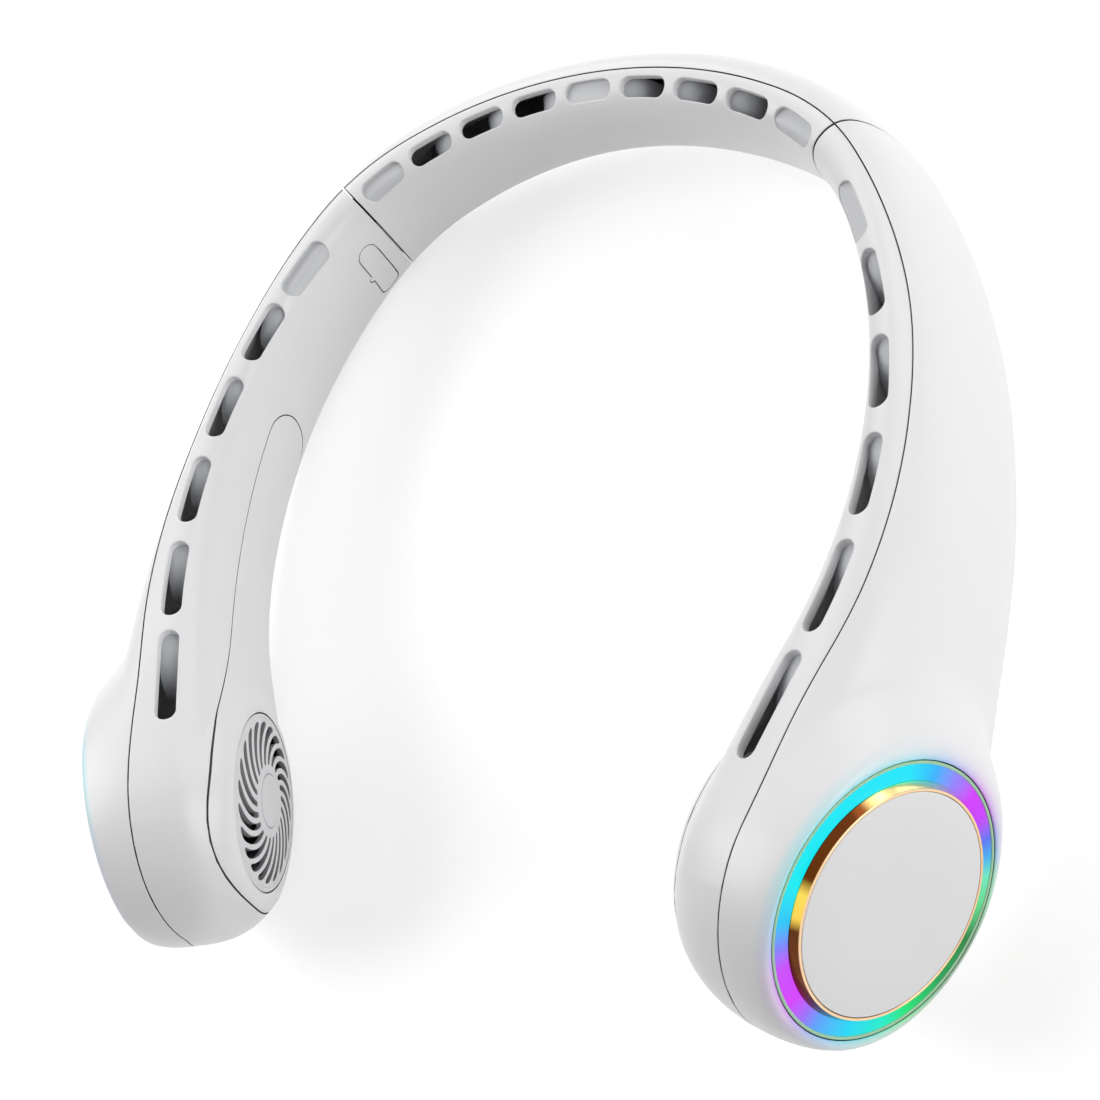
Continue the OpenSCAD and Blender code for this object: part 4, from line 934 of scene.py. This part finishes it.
def surface(name, tone, rough=0.4, grain=0.25, depth=0.0, spread=0.03, drift=9.0, **direct):
    """Material of one colour with its wear: a fine grain of the given size in millimetres and its height in the
    bump, and slow drifts of tone and roughness over a larger length. Other Principled values go in by name."""
    mat = bpy.data.materials.new(name)
    mat.use_nodes = True
    tree = mat.node_tree
    tree.nodes.clear()
    coords = add(tree, "TexCoord").outputs["Object"]
    slow = add(tree, "TexNoise", {"Vector": coords, "Scale": 1000 / drift, "Detail": 3.0}).outputs["Fac"]
    fine = add(tree, "TexNoise", {"Vector": coords, "Scale": 1000 / grain, "Detail": 2.0}).outputs["Fac"]
    base = linear(tone)
    dark = tuple(v * (1 - spread) for v in base[:3]) + (1.0,)
    light = tuple(min(1.0, v * (1 + spread * 0.5)) for v in base[:3]) + (1.0,)
    mixed = add(tree, "Mix", {0: slow, 6: dark, 7: light}, data_type="RGBA").outputs[2]
    worn = {"Value": slow, "From Min": 0.3, "From Max": 0.7, "To Min": rough * 0.9, "To Max": rough * 1.1}
    polish = add(tree, "MapRange", worn).outputs[0]
    bump = add(tree, "Bump", {"Height": fine, "Distance": depth / 1000, "Strength": 0.6}).outputs[0]
    values = {"Base Color": mixed, "Roughness": polish, "Normal": bump}
    values.update(direct)
    shader = add(tree, "BsdfPrincipled", values)
    add(tree, "OutputMaterial", {"Surface": shader.outputs[0]})
    return mat


# Colours of the lit ring by the angle round it, in degrees from the front tip of the pod downward.
GLOW = ((0, "#5B9FFB"), (20, "#08D8F8"), (40, "#02EECC"), (54, "#00E676"), (75, "#12A052"), (96, "#1E8440"),
        (112, "#62DE90"), (124, "#70E8C0"), (133, "#3FB0F0"), (142, "#5A74F4"), (154, "#C83CFC"), (168, "#D538FC"),
        (181, "#9A7CFE"), (196, "#30B4FF"), (212, "#00E8FF"), (286, "#00EEF6"), (302, "#28C4FC"), (312, "#7F86FE"),
        (322, "#CC4CFE"), (340, "#D83CFE"), (352, "#9A70FC"))
# Painted reflections on the gold wall: its tones by the same angle, from half a turn on; bronze stands for dark things
# mirrored in it, bright gold for the lamps.
PAINTED_GOLD_REFLECTIONS = ((180, "#FFF4CC"), (230, "#FFEA98"), (241, "#6E3A1A"), (281, "#62330F"), (288, "#FFE060"), (299, "#FFD658"),
        (305, "#62381C"), (350, "#7E4628"), (10, "#C98A50"), (100, "#B87040"), (150, "#E8B880"))


def fill_ramp(bar, stops):
    """Stops of a colour ramp that goes all round: both its ends take the first stop's colour."""
    for e, spot in zip(list(bar.elements), (0.0, 1.0)):
        e.position, e.color = spot, linear(stops[0][1])
    for spot, tone in stops:
        if spot > 0:
            bar.elements.new(spot).color = linear(tone)


def ring_colour(tree, table):
    """Sockets of the colour that a table of angles and tones gives round the ring, and of the height over the ring's
    plane, from the attribute around, which points from the ring's middle."""
    at = add(tree, "Attribute", attribute_name="around").outputs["Vector"]
    parts = add(tree, "SeparateXYZ", {0: at}).outputs
    angle = add(tree, "Math", {0: parts[1], 1: parts[0]}, operation="ARCTAN2").outputs[0]
    turn = add(tree, "MapRange", {"Value": angle, "From Min": -math.pi, "From Max": math.pi}).outputs[0]
    ramp = add(tree, "ValToRGB", {"Fac": turn})
    fill_ramp(ramp.color_ramp, sorted(((q / 360 + 0.5) % 1, tone) for q, tone in table))
    return ramp.outputs[0], parts[2]


def glowing(name, strength):
    """Frosted plastic lit from behind, which keeps its colour where daylight falls on it."""
    mat = surface(name, "#E8F4FA", 0.4, 0.2, 0.01)
    tree = mat.node_tree
    shader = shader_of(mat)
    tone = ring_colour(tree, GLOW)[0]
    tree.links.new(tone, shader.inputs["Emission Color"])
    shader.inputs["Specular IOR Level"].default_value = 0.15
    deep = add(tree, "Mix", {0: 0.75, 6: linear("#101418"), 7: tone}, data_type="RGBA",
               blend_type="MULTIPLY").outputs[2]
    tree.links.new(deep, shader.inputs["Base Color"])
    shader.inputs["Emission Strength"].default_value = strength
    return mat


def lit_shell(name, strength, reach):
    """Satin plastic of the covers, with the ring's light that bleeds through it painted in as a tint of the base colour
    and a faint glow, both fading by an exponential over a few millimetres."""
    mat = surface(name, *WHITE)
    tree = mat.node_tree
    shader = shader_of(mat)
    tone = ring_colour(tree, GLOW)[0]
    past = add(tree, "Attribute", attribute_name="past").outputs["Fac"]
    far = add(tree, "Math", {0: past, 1: -1 / reach}, operation="MULTIPLY").outputs[0]
    fade = add(tree, "Math", {0: math.e, 1: far}, operation="POWER").outputs[0]
    share = add(tree, "Math", {0: fade, 1: 0.75}, operation="MULTIPLY").outputs[0]
    plain = shader.inputs["Base Color"].links[0].from_socket
    # Painted light: near the ring the base colour takes the ring's tint and the shell gives off a faint glow, though it
    # is no lamp.
    tinted = add(tree, "Mix", {0: share, 6: plain, 7: tone}, data_type="RGBA").outputs[2]
    power = add(tree, "Math", {0: fade, 1: strength}, operation="MULTIPLY").outputs[0]
    tree.links.new(tinted, shader.inputs["Base Color"])
    tree.links.new(tone, shader.inputs["Emission Color"])
    tree.links.new(power, shader.inputs["Emission Strength"])
    return mat


def gilded(name):
    """Polished gold: a pale line on top in the plating's own tone, and a wall whose base colour carries painted
    reflections that drift between bronze and bright gold round the ring.
    """
    mat = surface(name, "#F4CFA4", 0.13, 0.3, 0.003, 0.05, 5.0, Metallic=1.0)
    tree = mat.node_tree
    shader = shader_of(mat)
    tone, height = ring_colour(tree, PAINTED_GOLD_REFLECTIONS)
    top = add(tree, "MapRange", {"Value": height, "From Min": DISC_UP - 0.2, "From Max": DISC_UP - 0.08}).outputs[0]
    plain = shader.inputs["Base Color"].links[0].from_socket
    # The wall's base colour is the painted reflection from the ramp; the line on top keeps the plain gold.
    mixed = add(tree, "Mix", {0: top, 6: tone, 7: plain}, data_type="RGBA").outputs[2]
    tree.links.new(mixed, shader.inputs["Base Color"])
    return mat


def dress(obj, mat, body, slot, *nodes):
    """Gives a piece its material and the materials of painted shade for its unlit walls and closed recesses, as far as
    it has such faces, lets it ride on its body and stand for its CAD nodes."""
    obj.data.materials.append(mat)
    used = np.zeros(len(obj.data.polygons), np.int32)
    obj.data.polygons.foreach_get("material_index", used)
    walls = "seam_painted_shade" if slot in ("shell", "flap") else "opening_painted_shade"
    for finish in (walls, "recess_painted_shade")[:used.max()]:
        obj.data.materials.append(material(finish))
    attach(obj, body)
    if nodes:
        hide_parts(*nodes)
    return obj


# Moulded ABS of the casings: satin, with a fine grain, so that its highlights are soft and wide.
WHITE = ("#EFEFF0", 0.33, 0.35, 0.012, 0.012, 14.0)
# Each finish: colour, roughness, size of the grain and its height in millimetres, spread of tone, length of its
# drift, then direct values of the shader.
FINISHES = {
    "satin_white_abs": (WHITE, {}),  # casings, panels, port flap and button
    "pale_grey_abs": (("#E3E3E5", 0.42, 0.35, 0.012, 0.02, 12.0), {}),  # grilles and hub plates
    "matte_disc_paint": (("#EAEAEB", 0.55, 0.16, 0.02, 0.012, 8.0), {}),  # discs
    # Painted shade: the unlit walls of seams, joints and gaps are painted near black.
    "seam_painted_shade": (("#2E2F31", 0.6, 0.3, 0.01, 0.03, 10.0), {}),  # unlit walls of the seams
    # Painted shade on the walls of the grille's openings.
    "opening_painted_shade": (("#8A8B8D", 0.5, 0.3, 0.01, 0.03, 10.0), {}),  # walls of the grille's openings
    # Painted shade on the walls and floors of closed recesses and on the flap's seat.
    "recess_painted_shade": (("#D2D3D5", 0.45, 0.35, 0.012, 0.02, 12.0), {}),  # closed recesses and the flap's seat
    # Rims: their pale green base colour is painted light, that of the ring in their edge, and the index is that of
    # acrylic.
    "clear_acrylic_painted_green_light": (("#BDEFC6", 0.12, 0.5, 0.0, 0.02, 9.0), {"Transmission Weight": 0.25, "IOR": 1.49}),
    "light_grey_abs": (("#C4C6CA", 0.45, 0.3, 0.01, 0.03, 10.0), {}),  # air vanes
    "brushed_steel": (("#B9BBBE", 0.28, 0.12, 0.004, 0.06, 4.0), {"Metallic": 1.0}),  # pins, shafts and screws
    "nickel_plating": (("#C9C5BC", 0.22, 0.2, 0.002, 0.05, 3.0), {"Metallic": 1.0}),  # charging socket
    "zinc_can": (("#A9ABAE", 0.36, 0.2, 0.006, 0.08, 5.0), {"Metallic": 1.0}),  # motors
    "grey_nylon": (("#4A4C50", 0.5, 0.4, 0.02, 0.05, 9.0), {}),  # battery tray
    "dark_nylon": (("#3A3C40", 0.35, 0.3, 0.01, 0.05, 8.0), {}),  # fan wheels
    "soft_black_rubber": (("#2B2C2F", 0.7, 0.25, 0.03, 0.06, 6.0), {"Sheen Weight": 0.2}),  # joint sleeves
    "inner_white_abs": (("#DEDFE0", 0.5, 0.5, 0.02, 0.03, 12.0), {}),  # motor brackets
    "green_board": (("#1E5B38", 0.3, 0.8, 0.03, 0.25, 1.8), {"Coat Weight": 0.4}),  # circuit boards
    "blue_cell_sleeve": (("#2F66A8", 0.3, 0.6, 0.01, 0.05, 15.0), {"Coat Weight": 0.3}),  # battery cells
}


def material(name):
    """Finish by name, made when it is first asked for."""
    if name in bpy.data.materials:
        return bpy.data.materials[name]
    if name == "lit_frosted_ring":
        return glowing(name, 0.95)
    if name == "white_abs_painted_ring_glow":
        return lit_shell(name, 0.08, 1.05)
    if name == "gold_plating_painted_reflections":
        return gilded(name)
    values, direct = FINISHES[name]
    return surface(name, *values, **direct)


def seen_rays(tree):
    """Socket that is 1 for rays by which the background is seen, straight on or in metal and glass."""
    path = add(tree, "LightPath").outputs
    some = add(tree, "Math", {0: path["Is Camera Ray"], 1: path["Is Glossy Ray"]}, operation="MAXIMUM").outputs[0]
    return add(tree, "Math", {0: some, 1: path["Is Transmission Ray"]}, operation="MAXIMUM").outputs[0]


def stage_floor(lift):
    """Pale floor: seen rays get a little light added, so that it is white but for the soft shadow."""
    mat = surface("pale_floor", "#F4F4F4", 0.9, 40.0, 0.0, 0.0, 500.0)
    tree = mat.node_tree
    shader = shader_of(mat)
    shader.inputs["Specular IOR Level"].default_value = 0.0
    shader.inputs["Emission Color"].default_value = linear("#FFFFFF")
    power = add(tree, "Math", {0: seen_rays(tree), 1: lift}, operation="MULTIPLY").outputs[0]
    tree.links.new(power, shader.inputs["Emission Strength"])
    return mat


# Soft lamps: name, the side they stand on (0 in front, 90 on the right), height in degrees, power in watts. All have
# one width and one distance from their aim, in metres.
LAMPS = (("right", 86, 20, 5.4), ("left", 270, 44, 5.8), ("right_rear", 140, 26, 2.4), ("left_rear", 210, 30, 3.4))
LAMP_WIDTH, LAMP_AWAY, LAMP_AIM = 0.8, 1.1, (0, 0, 0.03)
FLOOR_HALF, FLOOR_GAP = 6.0, 0.0001
# Camera as fitted to the photograph, before the fan is laid to rest: its turn as an axis whose length is the angle,
# its shift, the share of that which is kept, and its lens in millimetres.
CAMERA_TURN = (2.63618413, 0.150232186, -0.694131189)
CAMERA_SHIFT, CAMERA_SHARE, CAMERA_LENS = (-2.25653032, -61.9275798, 396.113592), 0.92, 54.0


def around(obj, side):
    """Attributes of each point, in millimetres: around is its place from the ring's middle, forward, down and outward,
    and past is its distance past the ring, with four times its depth more than 1.2 mm under the ring's plane."""
    co = np.zeros(len(obj.data.vertices) * 3, np.float32)
    obj.data.vertices.foreach_get("co", co)
    co = co.reshape(-1, 3)
    mid = lamp_point(0, 0, 0, side)
    right, down = lamp_point(1, 0, 0, side) - mid, lamp_point(1, math.pi / 2, 0, side) - mid
    out = lamp_point(0, 0, 1, side) - mid
    x, y, z = [(co - mid) @ way * 1e6 for way in (right, down, out)]
    layer = obj.data.attributes.new("around", "FLOAT_VECTOR", "POINT")
    layer.data.foreach_set("vector", np.stack([x, y, z], 1).astype(np.float32).ravel())
    past = np.maximum(np.hypot(x, y) - LAMP_R, 0) + 4 * np.maximum(0, -z - 1.2)
    layer = obj.data.attributes.new("past", "FLOAT", "POINT")
    layer.data.foreach_set("value", past.astype(np.float32))


class FanSettings(bpy.types.PropertyGroup):
    """Light that the steps share."""
    lamps: FloatProperty(name="Lamps", description="Share of the lamps' power", default=1.0, min=0, subtype="FACTOR")
    world: FloatProperty(name="Room light", description="Strength of the light from all round", default=0.2, min=0,
                         subtype="FACTOR")
    lift: FloatProperty(name="Floor lift", description="Light added to the floor where it is seen", default=0.45,
                        min=0, subtype="FACTOR")


class Step:
    """Options that all steps share."""
    bl_options = {"REGISTER", "UNDO"}


class FAN_OT_band(Step, bpy.types.Operator):
    """Builds the two casings of the neckband"""
    bl_idname = "neck_fan.band"
    bl_label = "Band casings"

    def execute(self, context):
        white = material("satin_white_abs")
        dress(neck_core(), white, "neck", "shell", "neck_core")
        dress(neck_cover(), white, "neck", "shell", "neck_cover")
        vanes = guide_vanes("vane_set_band", NECK_SLOTS, 1.0)
        dress(vanes, material("light_grey_abs"), "neck", "vane", "air_vanes_neck")
        return {"FINISHED"}


class FAN_OT_arms(Step, bpy.types.Operator):
    """Builds the two casings of each arm"""
    bl_idname = "neck_fan.arms"
    bl_label = "Arm casings"

    def execute(self, context):
        white = material("satin_white_abs")
        for tag, side in SIDES:
            body = "arm_" + tag
            dress(arm_core("core_shell_" + tag, side), white, body, "shell", "arm_core_" + tag)
            cover = arm_cover("cover_shell_" + tag, side)
            around(cover, side)
            dress(cover, material("white_abs_painted_ring_glow"), body, "shell", "arm_cover_" + tag)
            dress(panel_plate("panel_" + tag, side), white, body, "shell", "inner_panel_" + tag)
            vanes = guide_vanes("vane_set_" + tag, ARM_SLOTS, side)
            dress(vanes, material("light_grey_abs"), body, "vane", "air_vanes_" + tag)
        return {"FINISHED"}


class FAN_OT_rings(Step, bpy.types.Operator):
    """Builds the lit ring, the clear rim, the gold bezel and the disc of each arm"""
    bl_idname = "neck_fan.rings"
    bl_label = "Lit rings"

    def execute(self, context):
        pieces = (("bezel_", "gold_plating_painted_reflections", "bezel", "gold_bezel_"),
                  ("disc_", "matte_disc_paint", "disc", "end_disc_"),
                  ("glow_", "lit_frosted_ring", "glow", "light_ring_"),
                  ("clear_band_", "clear_acrylic_painted_green_light", "rim", "clear_rim_"))
        for tag, side in SIDES:
            made = bezel_and_rings(side, tag)
            for key in ("glow_", "bezel_"):
                around(made[key + tag], side)
            for key, mat, slot, node in pieces:
                dress(made[key + tag], material(mat), "arm_" + tag, slot, node + tag)
        return {"FINISHED"}


class FAN_OT_grilles(Step, bpy.types.Operator):
    """Builds the domed grilles with their hub plates"""
    bl_idname = "neck_fan.grilles"
    bl_label = "Intake grilles"

    def execute(self, context):
        grey = material("pale_grey_abs")
        for tag, side in SIDES:
            dress(grille("grille_" + tag, side), grey, "arm_" + tag, "grille", "intake_grille_" + tag)
            dress(badge("hub_plate_" + tag, side), grey, "arm_" + tag, "grille", "grille_badge_" + tag)
        return {"FINISHED"}


class FAN_OT_power(Step, bpy.types.Operator):
    """Builds the flap of the charging port and the power button"""
    bl_idname = "neck_fan.power"
    bl_label = "Port flap and button"

    def execute(self, context):
        dress(port_flap("flap_plate"), material("satin_white_abs"), "port_flap", "flap", "port_cover")
        dress(button("round_button"), material("satin_white_abs"), "button", "shell", "power_button")
        return {"FINISHED"}


# Finishes of the inner parts.
INNER = {
    "battery_cells": "blue_cell_sleeve", "battery_tray": "grey_nylon", "main_board": "green_board",
    "usb_socket": "nickel_plating", "joint_sleeve": "soft_black_rubber", "hinge_pin": "brushed_steel",
    "fan_wheel": "dark_nylon", "wheel_shaft": "brushed_steel", "motor": "zinc_can", "motor_bracket": "inner_white_abs",
    "lamp_board": "green_board", "bracket_screws": "brushed_steel",
}


class FAN_OT_inner(Step, bpy.types.Operator):
    """Gives the inner parts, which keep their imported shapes, their finishes"""
    bl_idname = "neck_fan.inner"
    bl_label = "Inner parts"

    def execute(self, context):
        for part, mat in INNER.items():
            for name in (part, part + "_right", part + "_left"):
                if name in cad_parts:
                    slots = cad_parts[name].data.materials
                    slots.clear()
                    slots.append(material(mat))
        return {"FINISHED"}


class FAN_OT_stage(Step, bpy.types.Operator):
    """Makes the floor, the soft lights and the camera"""
    bl_idname = "neck_fan.stage"
    bl_label = "Stage"

    def execute(self, context):
        values = context.scene.neck_fan
        r = FLOOR_HALF
        mesh = bpy.data.meshes.new("floor")
        mesh.from_pydata([(-r, -r, 0), (r, -r, 0), (r, r, 0), (-r, r, 0)], [], [(0, 1, 2, 3)])
        floor = bpy.data.objects.new("floor", mesh)
        floor.location.z = CAD_BOX[0].z - FLOOR_GAP
        context.scene.collection.objects.link(floor)
        mesh.materials.append(stage_floor(values.lift))
        for name, azimuth, elevation, power in LAMPS:
            a, e = math.radians(azimuth), math.radians(elevation)
            way = Vector((math.sin(a) * math.cos(e), -math.cos(a) * math.cos(e), math.sin(e)))
            light = bpy.data.lights.new(name, "AREA")
            light.shape, light.size, light.energy = "DISK", LAMP_WIDTH, power * values.lamps
            obj = bpy.data.objects.new(name, light)
            obj.location = Vector(LAMP_AIM) + way * LAMP_AWAY
            obj.rotation_mode = "QUATERNION"
            obj.rotation_quaternion = way.to_track_quat("Z", "Y")
            context.scene.collection.objects.link(obj)
        world = bpy.data.worlds.new("room")
        context.scene.world = world
        world.use_nodes = True
        tree = world.node_tree
        tree.nodes.clear()
        room = add(tree, "Background", {"Color": linear("#FFFFFF"), "Strength": values.world}).outputs[0]
        white = add(tree, "Background", {"Color": linear("#FFFFFF"), "Strength": 1.0}).outputs[0]
        mixed = add(tree, "MixShader", {0: seen_rays(tree), 1: room, 2: white}).outputs[0]
        add(tree, "OutputWorld", {"Surface": mixed})
        camera = bpy.data.cameras.new("camera")
        camera.lens, camera.sensor_width = CAMERA_LENS, 36.0
        camera.clip_start, camera.clip_end = 0.01, 50.0
        obj = bpy.data.objects.new("camera", camera)
        turn = Vector(CAMERA_TURN)
        rot = Matrix.Rotation(turn.length, 3, turn.normalized())
        back = Matrix.Rotation(-REST, 3, "X")
        spot = back @ (rot.transposed() @ -Vector(CAMERA_SHIFT) * CAMERA_SHARE) / 1000 + Vector((0, *REST_PLACE)) / 1000
        facing = back @ rot.transposed() @ Matrix.Diagonal((1, -1, -1))
        obj.matrix_world = Matrix.Translation(spot) @ facing.to_4x4()
        context.scene.collection.objects.link(obj)
        context.scene.camera = obj
        context.scene.view_settings.view_transform = "Standard"
        return {"FINISHED"}


STEPS = (FAN_OT_band, FAN_OT_arms, FAN_OT_rings, FAN_OT_grilles, FAN_OT_power, FAN_OT_inner, FAN_OT_stage)


class FAN_PT_steps(bpy.types.Panel):
    """Lists the steps in the order in which they run"""
    bl_idname = "FAN_PT_steps"
    bl_label = "Neck fan"
    bl_space_type = "VIEW_3D"
    bl_region_type = "UI"
    bl_category = "Neck fan"

    def draw(self, context):
        for step in STEPS:
            self.layout.operator(step.bl_idname)


def register():
    """Registers the settings, the steps and their panel."""
    for c in (FanSettings, *STEPS, FAN_PT_steps):
        bpy.utils.register_class(c)
    bpy.types.Scene.neck_fan = PointerProperty(type=FanSettings)


def unregister():
    """Takes them all away again."""
    del bpy.types.Scene.neck_fan
    for c in reversed((FanSettings, *STEPS, FAN_PT_steps)):
        bpy.utils.unregister_class(c)


def main():
    """Registers the steps and runs them all in their order."""
    register()
    for step in STEPS:
        group, name = step.bl_idname.split(".")
        getattr(getattr(bpy.ops, group), name)()


if __name__ == "__main__":
    main()
